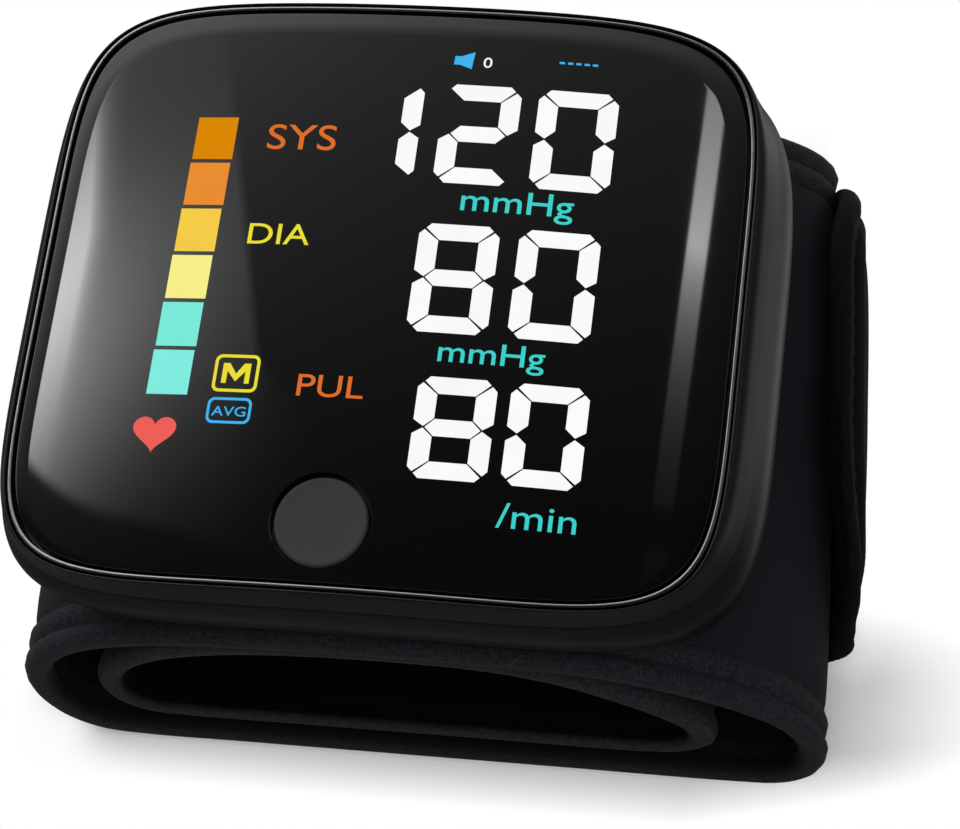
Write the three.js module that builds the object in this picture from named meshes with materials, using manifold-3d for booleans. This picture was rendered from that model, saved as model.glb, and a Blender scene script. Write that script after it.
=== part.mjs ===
// Wrist blood pressure monitor lying on its closed cuff, display upward, millimetres, +Z up.
import * as THREE from "three";
import { mergeVertices } from "three/addons/utils/BufferGeometryUtils.js";
import Module from "manifold-3d";

const wasm = await Module();
wasm.setup();

// Face of the housing: half sizes at the bright trim, corner power, height and fall of the arch
const RIM_HEIGHT = 52;
const FACE_HALF_X = 40;
const FACE_HALF_Y = 35.6;
const FACE_POWER = 6.1;
const WALL_POWER = 5.2;
const FLOOR_POWER = 5;
const ARCH_DROP = 3.2;

// Housing walls, measured down from the middle of the rim
const SPLIT_DEPTH = 5;
const SPLIT_GAP = 0.3;
const BULGE_X = 4.15;
const BULGE_Y = 1.2;
const HOUSING_DEPTH = 22;
const WALL = 1.8;
const SEAT = 0.3;
const RECESS_GAP = 0.15;

// Shoulder of the front case: steps out from the lens recess in X and Y, corner power, part of the depth
const SHOULDER = [
  [2.6, 0.55, 5, 1],
  [1.75, 0.46, 5.2, 0.5],
  [1, 0.34, 5.6, 0.16],
  [0.5, 0.26, 5.9, 0.03],
  [0.22, 0.18, 6, 0],
];

// Trim, lens and its seal
const TRIM_HALF_WIDTH = 0.28;
const TRIM_DEPTH = 1.5;
const LENS_GAP = 0.32;
const LENS_THICK = 1.6;
const LENS_TOP = -0.1;
const SEAL_THICK = 0.25;
const LEDGE_THICK = 1.4;
const LEDGE_WIDTH = 2.4;

// Start button and the switch under it
const BUTTON_X = -2.6;
const BUTTON_Y = -28;
const BUTTON_RADIUS = 5.25;
const BUTTON_GAP = 0.35;
const BUTTON_TOP = -0.35;
const BUTTON_FLANGE = 5.95;
const SWITCH_SIZE = 6;
const SWITCH_HEIGHT = 2;
const PLUNGER_RADIUS = 1.6;

// Board, light box and film under the lens
const BOARD_TOP = -6.3;
const BOARD_THICK = 1.2;
const BOARD_HALF_X = FACE_HALF_X - 3.5;
const BOARD_HALF_Y = FACE_HALF_Y - 4.1;
const BOARD_CORNER = 10.5;
const STAND_Y = FACE_HALF_Y - 6.3;
const BOX_HALF_X = 27;
const BOX_FRONT = -21.7;
const BOX_BACK = 27;
const BOX_TOP = -3.7;
const FILM_THICK = 0.22;

// Cells and their tray
const CELL_RADIUS = 5.2;
const CELL_LENGTH = 43.7;
const CELL_NUB = 0.8;
const CELL_INSET = 6;
const CELL_PITCH = 11.2;
const CELL_X = [CELL_INSET - FACE_HALF_X, CELL_INSET + CELL_PITCH - FACE_HALF_X];
const CELL_Z = -15.2;
const CONTACT_ROOM = 2.15;
const TRAY_WALL = 1.4;
const DOOR_HALF_Y = 24;
const DOOR_TOP = -9.9;
const DOOR_BOTTOM = -20.6;
const DOOR_GAP = 0.2;

// Air pump, valve, sensor and hoses
const PUMP_X = FACE_HALF_X - 9;
const PUMP_Z = -14.4;
const MOTOR_RADIUS = 5.9;
const MOTOR_FRONT = -22;
const MOTOR_BACK = -1;
const HEAD_BACK = 14;
const HEAD_HALF = 6.2;
const PORT_Y = 4;
const PORT_RADIUS = 1.6;
const HOSE_WALL = 0.85;

// Screws that hold the two case halves
const SCREW_X = FACE_HALF_X - 7;
const SCREW_Y = FACE_HALF_Y - 6.4;
const SCREW_RADIUS = 0.9;
const SCREW_HEAD = 1.9;
const SCREW_HOLE = 1.1;
const HEAD_GAP = 0.3;
const BOSS_RADIUS = 2.6;
const BOSS_JOIN = -9;

// Chip, coil and loudspeaker places
const CHIP_X = 17;
const CHIP_Y = 22.5;
const CHIP_HALF_X = 5;
const CHIP_HALF_Y = 4.5;
const COIL_X = 23;
const COIL_Y = -25.5;
const SPEAKER_X = PUMP_X - 18;
const SPEAKER_Y = -16;
const SPEAKER_RADIUS = 9.8;

// Release valve: axis depth, bore and reach
const VALVE_Z = -12;
const VALVE_BORE = 2;
const VALVE_FRONT = 8;
const VALVE_BACK = 20;

// Cutters reach this far past what they cut
const PAST = 40;

// Cuff: strap thickness, flare of its width from top to bottom, skew of the right fold
const STRAP_HALF = 1.8;
const STRAP_FLAT = 1.3;
const LINER_HALF = 1.6;
const LINER_INSET = 1.2;
const CUFF_CENTRE_Y = 0.95;
const CUFF_HALF_WIDTH = 40.05;
const CUFF_TAPER = 0.14;
const FOLD_SKEW = 2.35;
const STRAP_SPLIT_X = 8;

// Clamp plate and air bladder inside the cuff
const PLATE_FRONT_X = -20;
const PLATE_BACK_X = 24;
const PLATE_HALF_WIDTH = 22;
const BLADDER_FRONT_X = -22;
const BLADDER_BACK_X = 20;
const BLADDER_MARGIN = 5.2;
const POCKET_GAP = 0.4;

// Loose end of the strap: place and widths to each side, its two rounded corners and bow, and the hook patch
const TAIL_HALF = 1.45;
const TAIL_CENTRE_Y = 5.4;
const TAIL_FRONT_WIDTH = 29.6;
const TAIL_BACK_WIDTH = 31.5;
const TAIL_FRONT_CORNER = 28;
const TAIL_BACK_CORNER = 16;
const TAIL_CORNER_RISE = 13.2;
const TAIL_BOW = 1.7;
const HOOK_THICK = 0.55;
const HOOK_HALF_WIDTH = 14;
const PATCH_GAP = 0.12;

// Depth of the arched face at a distance from the middle line
function arch(x) {
  return ARCH_DROP * (x / FACE_HALF_X) ** 2;
}

// Picks points along a dense line, closer together where it turns
function pickPoints(line, count, span, turn) {
  const weight = [0];
  for (let i = 1; i < line.length; i++) {
    const step = line[i].clone().sub(line[i - 1]);
    let angle = 0;
    if (i < line.length - 1) {
      angle = step.angleTo(line[i + 1].clone().sub(line[i]));
    }
    weight.push(weight[i - 1] + step.length() / span + angle / turn);
  }
  const total = weight[weight.length - 1];
  const out = [];
  let at = 0;
  for (let k = 0; k < count; k++) {
    const want = (total * k) / (count - 1);
    while (at < line.length - 2 && weight[at + 1] < want) at += 1;
    const part = (want - weight[at]) / Math.max(weight[at + 1] - weight[at], 1e-9);
    out.push(line[at].clone().lerp(line[at + 1], Math.min(Math.max(part, 0), 1)));
  }
  return out;
}

// One rounded-square ring of the housing, following the arch
function ring(halfX, halfY, power, depth, archPart = 1) {
  const quarter = 13;
  const dense = [];
  for (let i = 0; i <= 360; i++) {
    const angle = (i / 360) * (Math.PI / 2);
    const c = Math.cos(angle);
    const s = Math.sin(angle);
    const radius = (Math.abs(c / halfX) ** power + Math.abs(s / halfY) ** power) ** (-1 / power);
    dense.push(new THREE.Vector3(radius * c, radius * s, 0));
  }
  const q = pickPoints(dense, quarter + 1, 7, 0.13);
  const flat = [];
  for (let i = 0; i < quarter; i++) flat.push([q[i].x, q[i].y]);
  for (let i = quarter; i > 0; i--) flat.push([-q[i].x, q[i].y]);
  for (let i = 0; i < quarter; i++) flat.push([-q[i].x, -q[i].y]);
  for (let i = quarter; i > 0; i--) flat.push([q[i].x, -q[i].y]);
  const top = RIM_HEIGHT + depth;
  return flat.map(([x, y]) => new THREE.Vector3(x, y, top - archPart * arch(x)));
}

// Skin through a list of closed rings; the ends close on a point, on a ladder of faces, or on each other
function loft(rings, ends) {
  const size = rings[0].length;
  const points = rings.flat().map((p) => p.clone());
  const faces = [];
  const count = rings.length;
  const steps = ends === "wrap" ? count : count - 1;
  for (let i = 0; i < steps; i++) {
    const a = i * size;
    const b = ((i + 1) % count) * size;
    for (let k = 0; k < size; k++) {
      const n = (k + 1) % size;
      faces.push([a + k, a + n, b + n], [a + k, b + n, b + k]);
    }
  }
  if (ends === "fan") {
    for (const [index, flip] of [[0, true], [count - 1, false]]) {
      const middle = new THREE.Vector3();
      rings[index].forEach((p) => middle.add(p));
      middle.divideScalar(size);
      middle.z = Math.max(...rings[index].map((p) => p.z));
      points.push(middle);
      for (let k = 0; k < size; k++) {
        const n = (k + 1) % size;
        const a = index * size;
        faces.push(flip ? [points.length - 1, a + n, a + k] : [points.length - 1, a + k, a + n]);
      }
    }
  }
  if (ends === "ladder") {
    for (const [index, flip] of [[0, true], [count - 1, false]]) {
      const a = index * size;
      for (let k = 0; k < size / 2 - 1; k++) {
        const quad = [a + k, a + k + 1, a + size - 2 - k, a + size - 1 - k];
        if (flip) quad.reverse();
        faces.push([quad[0], quad[1], quad[2]], [quad[0], quad[2], quad[3]]);
      }
    }
  }
  const geometry = new THREE.BufferGeometry();
  const position = points.flatMap((p) => [p.x, p.y, p.z]);
  geometry.setAttribute("position", new THREE.Float32BufferAttribute(position, 3));
  geometry.setIndex(faces.flat());
  return solid(geometry);
}

// Closed geometry to a solid for cutting and joining
function solid(geometry) {
  const bare = geometry.index ? geometry.toNonIndexed() : geometry.clone();
  bare.deleteAttribute("normal");
  bare.deleteAttribute("uv");
  const merged = mergeVertices(bare, 1e-4);
  const vertProperties = new Float32Array(merged.getAttribute("position").array);
  const triVerts = new Uint32Array(merged.index.array);
  const make = () => new wasm.Manifold(new wasm.Mesh({ numProp: 3, vertProperties, triVerts }));
  const first = make();
  if (first.volume() > 0) return first;
  for (let i = 0; i < triVerts.length; i += 3) {
    [triVerts[i + 1], triVerts[i + 2]] = [triVerts[i + 2], triVerts[i + 1]];
  }
  return make();
}

// Block between two corners, depths measured from the rim
function block(x0, x1, y0, y1, z0, z1) {
  const geometry = new THREE.BoxGeometry(x1 - x0, y1 - y0, z1 - z0);
  geometry.translate((x0 + x1) / 2, (y0 + y1) / 2, RIM_HEIGHT + (z0 + z1) / 2);
  return solid(geometry);
}

// Upright round post between two depths
function post(x, y, radius, z0, z1, sides = 20) {
  const geometry = new THREE.CylinderGeometry(radius, radius, z1 - z0, sides);
  geometry.rotateX(Math.PI / 2);
  geometry.translate(x, y, RIM_HEIGHT + (z0 + z1) / 2);
  return solid(geometry);
}

// Round bar along the depth of the part
function barY(x, z, radius, y0, y1, sides = 20) {
  const geometry = new THREE.CylinderGeometry(radius, radius, y1 - y0, sides);
  geometry.translate(x, (y0 + y1) / 2, RIM_HEIGHT + z);
  return solid(geometry);
}

// Round bar across the part
function barX(y, z, radius, x0, x1, sides = 16) {
  const geometry = new THREE.CylinderGeometry(radius, radius, x1 - x0, sides);
  geometry.rotateZ(Math.PI / 2);
  geometry.translate((x0 + x1) / 2, y, RIM_HEIGHT + z);
  return solid(geometry);
}

// Turned piece about an upright axis, profile as radius and depth pairs
function turned(x, y, profile, sides = 24) {
  const points = profile.map(([radius, depth]) => new THREE.Vector2(radius, RIM_HEIGHT + depth));
  const geometry = new THREE.LatheGeometry(points, sides);
  geometry.rotateX(Math.PI / 2);
  geometry.translate(x, y, 0);
  return solid(geometry);
}

// Tube or wire along a curve
function swept(points, radius, bore, steps, sides) {
  const path = new THREE.CatmullRomCurve3(points.map(([x, y, z]) => new THREE.Vector3(x, y, RIM_HEIGHT + z)));
  const shape = new THREE.Shape().absarc(0, 0, radius, 0, Math.PI * 2, false);
  if (bore > 0) shape.holes.push(new THREE.Path().absarc(0, 0, bore, 0, Math.PI * 2, true));
  const options = { steps, extrudePath: path, curveSegments: sides, bevelEnabled: false };
  return solid(new THREE.ExtrudeGeometry(shape, options));
}

// Named pieces of the part
const group = new THREE.Group();
const pieces = [];
function addPiece(name, shape, color, roughness, metalness = 0) {
  const data = shape.getMesh();
  const geometry = new THREE.BufferGeometry();
  const position = new Float32Array(data.numVert * 3);
  for (let i = 0; i < data.numVert; i++) {
    for (let k = 0; k < 3; k++) position[3 * i + k] = data.vertProperties[data.numProp * i + k];
  }
  geometry.setAttribute("position", new THREE.BufferAttribute(position, 3));
  geometry.setIndex(new THREE.BufferAttribute(new Uint32Array(data.triVerts), 1));
  geometry.computeVertexNormals();
  const mesh = new THREE.Mesh(geometry, new THREE.MeshStandardMaterial({ color, roughness, metalness }));
  mesh.name = name;
  group.add(mesh);
  pieces.push(mesh);
}

// Outer skin of the housing, from the crown of the rim to the floor
const maxX = FACE_HALF_X + BULGE_X;
const maxY = FACE_HALF_Y + BULGE_Y;
const recessX = FACE_HALF_X + TRIM_HALF_WIDTH + RECESS_GAP;
const recessY = FACE_HALF_Y + TRIM_HALF_WIDTH + RECESS_GAP;
const ledgeTop = LENS_TOP - LENS_THICK - SEAL_THICK;
const ledgeBase = ledgeTop - LEDGE_THICK;
const rearTop = -SPLIT_DEPTH - SPLIT_GAP;

// Front case: rim, recess for the trim and lens, ledge and upper wall
const splitX = recessX + SHOULDER[0][0];
const splitY = recessY + SHOULDER[0][1];
const splitPower = SHOULDER[0][2];
const frontRings = SHOULDER.map(([x, y, power, part]) => {
  return ring(recessX + x, recessY + y, power, -SPLIT_DEPTH * part);
});
frontRings.push(
  ring(recessX, recessY, FACE_POWER, -0.12),
  ring(recessX, recessY, FACE_POWER, ledgeTop),
  ring(recessX - LEDGE_WIDTH, recessY - LEDGE_WIDTH, FACE_POWER, ledgeTop),
  ring(recessX - LEDGE_WIDTH, recessY - LEDGE_WIDTH, FACE_POWER, ledgeBase),
  ring(recessX, recessY - 0.6, FACE_POWER, ledgeBase),
  ring(splitX - WALL, splitY - WALL, splitPower, -SPLIT_DEPTH),
);
let frontCase = loft(frontRings, "wrap");
for (const sx of [-1, 1]) {
  for (const sy of [-1, 1]) {
    const bossTop = ledgeBase + 0.6 - arch(SCREW_X);
    frontCase = frontCase.add(post(sx * SCREW_X, sy * SCREW_Y, 2.4, BOSS_JOIN, bossTop));
    frontCase = frontCase.subtract(post(sx * SCREW_X, sy * SCREW_Y, 1, BOSS_JOIN - 1, BOSS_JOIN + 2.7, 12));
  }
}
const flangeRoom = post(BUTTON_X, BUTTON_Y, BUTTON_FLANGE + 0.45, ledgeBase - 0.4, ledgeTop + 0.1, 32);
frontCase = frontCase.subtract(flangeRoom);

// Rear case: bulged tray with a curved floor that follows the wrist
const rearOuter = [
  ring(splitX - 0.12, splitY - 0.12, splitPower, rearTop),
  ring(maxX - 0.1, maxY - 0.1, WALL_POWER, -9),
  ring(maxX, maxY - 0.6, WALL_POWER - 0.1, -13),
  ring(maxX - 0.5, maxY - 1.7, FLOOR_POWER + 0.1, -17),
  ring(maxX - 1.8, maxY - 3.4, FLOOR_POWER, -HOUSING_DEPTH + 2.4),
  ring(maxX - 4.4, maxY - 6, FLOOR_POWER, -HOUSING_DEPTH + 0.8),
  ring(maxX - 8.4, maxY - 9.7, FLOOR_POWER, -HOUSING_DEPTH),
  ring((maxX - 8.4) * 0.5, (maxY - 9.7) * 0.5, 4, -HOUSING_DEPTH),
];
const floorTop = -HOUSING_DEPTH + WALL;
function innerRings(shrink) {
  return [
    ring(maxX * 0.42 - shrink, maxY * 0.38 - shrink, 4, floorTop + shrink),
    ring(maxX - 9.4 - shrink, maxY - 10.7 - shrink, FLOOR_POWER, floorTop + shrink),
    ring(maxX - 3.6 - shrink, maxY - 5.2 - shrink, FLOOR_POWER, floorTop + 1.6 + shrink),
    ring(maxX - 2.4 - shrink, maxY - 3.6 - shrink, FLOOR_POWER + 0.1, -17),
    ring(maxX - WALL - shrink, maxY - 2.4 - shrink, WALL_POWER - 0.1, -13),
    ring(maxX - 1.9 - shrink, maxY - 1.9 - shrink, WALL_POWER, -9),
    ring(splitX - 0.12 - WALL - shrink, splitY - 0.12 - WALL - shrink, splitPower, rearTop),
  ];
}
const rearShell = loft([...rearOuter].reverse().concat([...innerRings(0)].reverse()), "fan");
const inside = loft(innerRings(SEAT), "fan");
const outerBody = loft([...rearOuter].reverse(), "fan");
let rearCase = rearShell;
for (const sx of [-1, 1]) {
  for (const sy of [-1, 1]) {
    const boss = post(sx * SCREW_X, sy * SCREW_Y, BOSS_RADIUS, -HOUSING_DEPTH - 3, BOSS_JOIN);
    rearCase = rearCase.add(boss.intersect(outerBody));
  }
}
const boardBase = BOARD_TOP - BOARD_THICK;
for (const [x, y] of [[4, STAND_Y], [16, -STAND_Y], [-14, -STAND_Y]]) {
  rearCase = rearCase.add(post(x, y, 1.5, floorTop - 0.9, boardBase, 14));
}
const doorBox = block(-maxX - 2, -maxX + 7, -DOOR_HALF_Y, DOOR_HALF_Y, DOOR_BOTTOM, DOOR_TOP);
rearCase = rearCase.subtract(doorBox);
const headSeat = floorTop - 0.3;
for (const sx of [-1, 1]) {
  for (const sy of [-1, 1]) {
    rearCase = rearCase.subtract(post(sx * SCREW_X, sy * SCREW_Y, SCREW_HOLE, -PAST, 0, 12));
    rearCase = rearCase.subtract(post(sx * SCREW_X, sy * SCREW_Y, SCREW_HEAD + HEAD_GAP, -PAST, headSeat, 16));
  }
}
const portHole = post(0, PORT_Y, PORT_RADIUS + POCKET_GAP, -PAST, 0, 16);
rearCase = rearCase.subtract(portHole);

// Battery door: the cut-out of the left wall with a grip rib
const doorCut = block(
  -maxX - 2,
  -maxX + 7,
  -DOOR_HALF_Y + DOOR_GAP,
  DOOR_HALF_Y - DOOR_GAP,
  DOOR_BOTTOM + DOOR_GAP,
  DOOR_TOP - DOOR_GAP,
);
const batteryDoor = rearShell.intersect(doorCut);

// Trim, lens with the button hole, and the seal under the lens
const trimX = FACE_HALF_X;
const trimY = FACE_HALF_Y;
const trimRing = loft(
  [
    ring(trimX + TRIM_HALF_WIDTH, trimY + TRIM_HALF_WIDTH, FACE_POWER, -TRIM_DEPTH),
    ring(trimX + TRIM_HALF_WIDTH, trimY + TRIM_HALF_WIDTH, FACE_POWER, -0.08),
    ring(trimX, trimY, FACE_POWER, 0.06),
    ring(trimX - TRIM_HALF_WIDTH, trimY - TRIM_HALF_WIDTH, FACE_POWER, -0.08),
    ring(trimX - TRIM_HALF_WIDTH, trimY - TRIM_HALF_WIDTH, FACE_POWER, -TRIM_DEPTH),
  ],
  "wrap",
);
const lensX = trimX - TRIM_HALF_WIDTH - LENS_GAP;
const lensY = trimY - TRIM_HALF_WIDTH - LENS_GAP;
const lensScale = (part) => [lensX * part, lensY * part, 2 + (FACE_POWER - 2) * part ** 2];
const lensRings = [];
for (const part of [0.3, 0.68]) lensRings.push(ring(...lensScale(part), LENS_TOP));
lensRings.push(ring(lensX - 0.25, lensY - 0.25, FACE_POWER, LENS_TOP));
lensRings.push(ring(lensX, lensY, FACE_POWER, LENS_TOP - 0.2));
lensRings.push(ring(lensX, lensY, FACE_POWER, LENS_TOP - LENS_THICK));
for (const part of [0.96, 0.55]) lensRings.push(ring(...lensScale(part), LENS_TOP - LENS_THICK));
let displayLens = loft(lensRings, "fan");
displayLens = displayLens.subtract(post(BUTTON_X, BUTTON_Y, BUTTON_RADIUS + BUTTON_GAP, -6, 4, 40));
const sealBase = ledgeTop + 0.03;
const sealTop = LENS_TOP - LENS_THICK - 0.03;
const lensSeal = loft(
  [
    ring(lensX - 0.2, lensY - 0.2, FACE_POWER, sealBase),
    ring(lensX - 0.2, lensY - 0.2, FACE_POWER, sealTop),
    ring(lensX - 1, lensY - 1, FACE_POWER, sealTop),
    ring(lensX - 1, lensY - 1, FACE_POWER, sealBase),
  ],
  "wrap",
);

// Start button, switch body with its well, and the switch plunger
const flangeTop = LENS_TOP - LENS_THICK - 0.35;
const flangeBase = flangeTop - 0.8;
const switchTop = BOARD_TOP + SWITCH_HEIGHT;
const plungerTop = switchTop + 0.8;
const startButton = turned(
  BUTTON_X,
  BUTTON_Y,
  [
    [0, plungerTop],
    [1.5, plungerTop],
    [1.5, flangeBase],
    [BUTTON_FLANGE, flangeBase],
    [BUTTON_FLANGE, flangeTop],
    [BUTTON_RADIUS, flangeTop],
    [BUTTON_RADIUS, BUTTON_TOP - 0.35],
    [BUTTON_RADIUS - 0.35, BUTTON_TOP],
    [0, BUTTON_TOP - 0.1],
  ],
  40,
);
const half = SWITCH_SIZE / 2;
const switchBlock = block(
  BUTTON_X - half,
  BUTTON_X + half,
  BUTTON_Y - half,
  BUTTON_Y + half,
  BOARD_TOP,
  switchTop,
);
const switchWell = post(BUTTON_X, BUTTON_Y, PLUNGER_RADIUS + 0.15, BOARD_TOP + 0.3, 0);
const switchBody = switchBlock.subtract(switchWell);
const switchPlunger = post(BUTTON_X, BUTTON_Y, PLUNGER_RADIUS, switchTop - 0.7, plungerTop);

// Board, light box with its windows, and the printed film
const boardShape = new THREE.Shape();
const bx = BOARD_HALF_X;
const by = BOARD_HALF_Y;
boardShape.moveTo(-bx, -by + BOARD_CORNER);
boardShape.lineTo(-bx + BOARD_CORNER, -by);
boardShape.lineTo(bx - BOARD_CORNER, -by);
boardShape.lineTo(bx, -by + BOARD_CORNER);
boardShape.lineTo(bx, by - BOARD_CORNER);
boardShape.lineTo(bx - BOARD_CORNER, by);
boardShape.lineTo(-bx + BOARD_CORNER, by);
boardShape.lineTo(-bx, by - BOARD_CORNER);
boardShape.closePath();
const boardGeometry = new THREE.ExtrudeGeometry(boardShape, { depth: BOARD_THICK, bevelEnabled: false });
boardGeometry.translate(0, 0, RIM_HEIGHT + boardBase);
const mainBoard = solid(boardGeometry);
let lightBox = block(-BOX_HALF_X, BOX_HALF_X, BOX_FRONT, BOX_BACK, BOARD_TOP, BOX_TOP);
const windows = [[-25, -19.5, -15, 20.5]];
for (const [x, y] of [[0.2, 14], [7, 14], [17, 14], [7, -3], [17, -3], [7, -21], [17, -21]]) {
  windows.push([x, x + (x < 1 ? 4 : 9), y, y + 10.5]);
}
for (const [x0, x1, y0, y1] of windows) {
  lightBox = lightBox.subtract(block(x0, x1, y0, y1, BOARD_TOP + 0.5, 0));
}
const displayFilm = block(
  -BOX_HALF_X + 0.5,
  BOX_HALF_X - 0.5,
  BOX_FRONT + 0.5,
  BOX_BACK - 0.5,
  BOX_TOP,
  BOX_TOP + FILM_THICK,
);
const controllerChip = block(
  CHIP_X - CHIP_HALF_X,
  CHIP_X + CHIP_HALF_X,
  CHIP_Y - CHIP_HALF_Y,
  CHIP_Y + CHIP_HALF_Y,
  boardBase - 1.3,
  boardBase,
);
const powerCoil = post(COIL_X, COIL_Y, 3, boardBase - 3, boardBase, 16);

// Two round cells head to tail, their tray, the link plate and two springs
const cells = CELL_X.map((x, i) => {
  const away = i === 0 ? 1 : -1;
  const body = barY(x, CELL_Z, CELL_RADIUS, -CELL_LENGTH / 2, CELL_LENGTH / 2, 24);
  const end = (away * CELL_LENGTH) / 2;
  const tip = end + away * CELL_NUB;
  return body.add(barY(x, CELL_Z, 1.9, Math.min(end - away, tip), Math.max(end - away, tip), 12));
});
const trayHalfY = CELL_LENGTH / 2 + CELL_NUB + CONTACT_ROOM + TRAY_WALL;
const wellHalfY = trayHalfY - TRAY_WALL;
const trayX0 = CELL_X[0] - CELL_RADIUS - 0.6;
const trayX1 = CELL_X[1] + CELL_RADIUS + 0.9;
let batteryTray = block(trayX0, trayX1, -trayHalfY, trayHalfY, -PAST, CELL_Z).intersect(inside);
for (const x of CELL_X) {
  batteryTray = batteryTray.subtract(barY(x, CELL_Z, CELL_RADIUS + 0.1, -wellHalfY, wellHalfY, 24));
}
const linkY = -wellHalfY;
const linkBar = block(CELL_X[0] - 3.4, CELL_X[1] + 3.4, linkY, linkY + 0.4, CELL_Z + 0.05, CELL_Z + 3.6);
const linkDiscs = CELL_X.map((x) => barY(x, CELL_Z, 3.2, linkY, linkY + 0.4, 16));
const contactLink = linkBar.add(linkDiscs.reduce((a, b) => a.add(b)));
const springs = CELL_X.map((x, i) => {
  const coil = [];
  const base = wellHalfY;
  const tip = CELL_LENGTH / 2 + (i === 0 ? CELL_NUB : 0) + 0.45;
  const turns = 2;
  for (let k = 0; k <= turns * 10; k++) {
    const part = k / (turns * 10);
    const angle = part * turns * Math.PI * 2;
    const radius = 3 - 1.4 * part;
    const y = base - 0.5 - part * (base - 0.5 - tip);
    coil.push([x + radius * Math.cos(angle), y, CELL_Z + radius * Math.sin(angle)]);
  }
  const wire = swept(coil, 0.3, 0, 26, 3);
  return wire.add(barY(x, CELL_Z, 3.6, base - 0.5, base, 16));
});

// Air pump: motor, head with the crank chamber, crank and the pad below
const motor = barY(PUMP_X, PUMP_Z, MOTOR_RADIUS, MOTOR_FRONT, MOTOR_BACK, 24).subtract(
  barY(PUMP_X, PUMP_Z, 1, MOTOR_BACK - 4, MOTOR_BACK + 1, 14),
);
const headFront = MOTOR_BACK + 2.6;
let pumpHead = block(
  PUMP_X - HEAD_HALF,
  PUMP_X + HEAD_HALF,
  headFront,
  HEAD_BACK,
  PUMP_Z - HEAD_HALF,
  PUMP_Z + HEAD_HALF,
);
pumpHead = pumpHead.subtract(barY(PUMP_X, PUMP_Z, 4.2, headFront - 1, headFront + 3, 20));
const sleeve = barY(PUMP_X, PUMP_Z, HEAD_HALF, MOTOR_BACK - 3, headFront + 0.01, 24);
const sleeveBore = barY(PUMP_X, PUMP_Z, MOTOR_RADIUS + 0.08, MOTOR_BACK - 4, headFront + 1, 24);
pumpHead = pumpHead.add(sleeve.subtract(sleeveBore));
pumpHead = pumpHead.subtract(barY(PUMP_X, PUMP_Z, 4.2, headFront - 1, headFront + 3, 20));
const nippleEnd = PUMP_X - HEAD_HALF - 3;
pumpHead = pumpHead.add(barX(6, -11.5, 1.3, nippleEnd, PUMP_X - HEAD_HALF + 0.5, 14));
let pumpCrank = barY(PUMP_X, PUMP_Z, 0.93, MOTOR_BACK - 3.5, MOTOR_BACK + 0.8, 14);
pumpCrank = pumpCrank.add(barY(PUMP_X, PUMP_Z, 3.6, MOTOR_BACK + 0.6, MOTOR_BACK + 1.8, 20));
pumpCrank = pumpCrank.add(barY(PUMP_X + 2.2, PUMP_Z, 0.7, MOTOR_BACK + 1.6, headFront + 2.4, 12));
const padBlock = block(PUMP_X - 5, PUMP_X + 5, MOTOR_FRONT + 1, HEAD_BACK - 1, -PAST, PUMP_Z - 3);
let pumpPad = padBlock.intersect(inside);
pumpPad = pumpPad.subtract(barY(PUMP_X, PUMP_Z, HEAD_HALF + 0.3, MOTOR_FRONT - 1, headFront + 0.5, 24));
pumpPad = pumpPad.subtract(
  block(PUMP_X - 7, PUMP_X + 7, headFront - 0.3, HEAD_BACK + 1, PUMP_Z - HEAD_HALF - SEAT, PUMP_Z),
);

// Manifold, pressure sensor, release valve and hoses
const manifoldBase = boardBase - 5.6;
let manifold = block(-5, 5, 0, 8, manifoldBase, boardBase);
manifold = manifold.add(post(0, PORT_Y, PORT_RADIUS, manifoldBase - 2.4, manifoldBase + 0.5, 16));
manifold = manifold.add(barX(PORT_Y, -10.4, 1.3, 4.5, 8, 14));
manifold = manifold.subtract(post(0, PORT_Y, 0.8, manifoldBase - 3, manifoldBase + 3, 10));
const sensorBlock = block(-15.5, -8.5, 0.8, 7.2, boardBase - 3, boardBase);
const pressureSensor = sensorBlock.add(barX(PORT_Y, boardBase - 1.6, 1.2, -9, -5, 12));
const valveBore = barY(0, VALVE_Z, VALVE_BORE, VALVE_FRONT + 3, VALVE_BACK + 1, 18);
const valveBody = block(-5, 5, VALVE_FRONT, VALVE_BACK, VALVE_Z - 4.5, boardBase).subtract(valveBore);
const valveStem = barY(0, VALVE_Z, VALVE_BORE - 0.08, VALVE_FRONT + 3.4, VALVE_BACK + 0.6, 18);
const valvePlunger = valveStem.add(barY(0, VALVE_Z, VALVE_BORE + 0.8, VALVE_BACK + 0.4, VALVE_BACK + 1.2, 18));
const hoseBore = 1.45;
const pumpHose = swept(
  [
    [nippleEnd + 2.7, 6, -11.5],
    [nippleEnd - 1, 6, -11.5],
    [14.5, 5.1, -10.9],
    [9.5, PORT_Y, -10.4],
    [5.3, PORT_Y, -10.4],
  ],
  hoseBore + HOSE_WALL,
  hoseBore,
  9,
  5,
);
const hoseTop = manifoldBase - 0.1;
const cuffHose = turned(
  0,
  PORT_Y,
  [
    [PORT_RADIUS + 0.1, hoseTop],
    [PORT_RADIUS + 0.1 + HOSE_WALL, hoseTop],
    [PORT_RADIUS + 0.1 + HOSE_WALL, floorTop + 1.4],
    [PORT_RADIUS + 0.1, floorTop + 1.4],
    [PORT_RADIUS + 0.1, hoseTop],
  ],
  16,
);
const portBase = -HOUSING_DEPTH - 0.3 - 2 * STRAP_HALF - 1.4;
const airPort = turned(
  0,
  PORT_Y,
  [
    [0.8, manifoldBase - 2.7],
    [PORT_RADIUS, manifoldBase - 2.7],
    [PORT_RADIUS, floorTop + 1.2],
    [3.6, floorTop + 1.2],
    [3.6, floorTop + 0.15],
    [PORT_RADIUS, floorTop + 0.15],
    [PORT_RADIUS, portBase],
    [0.8, portBase],
    [0.8, manifoldBase - 2.7],
  ],
  16,
);

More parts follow.
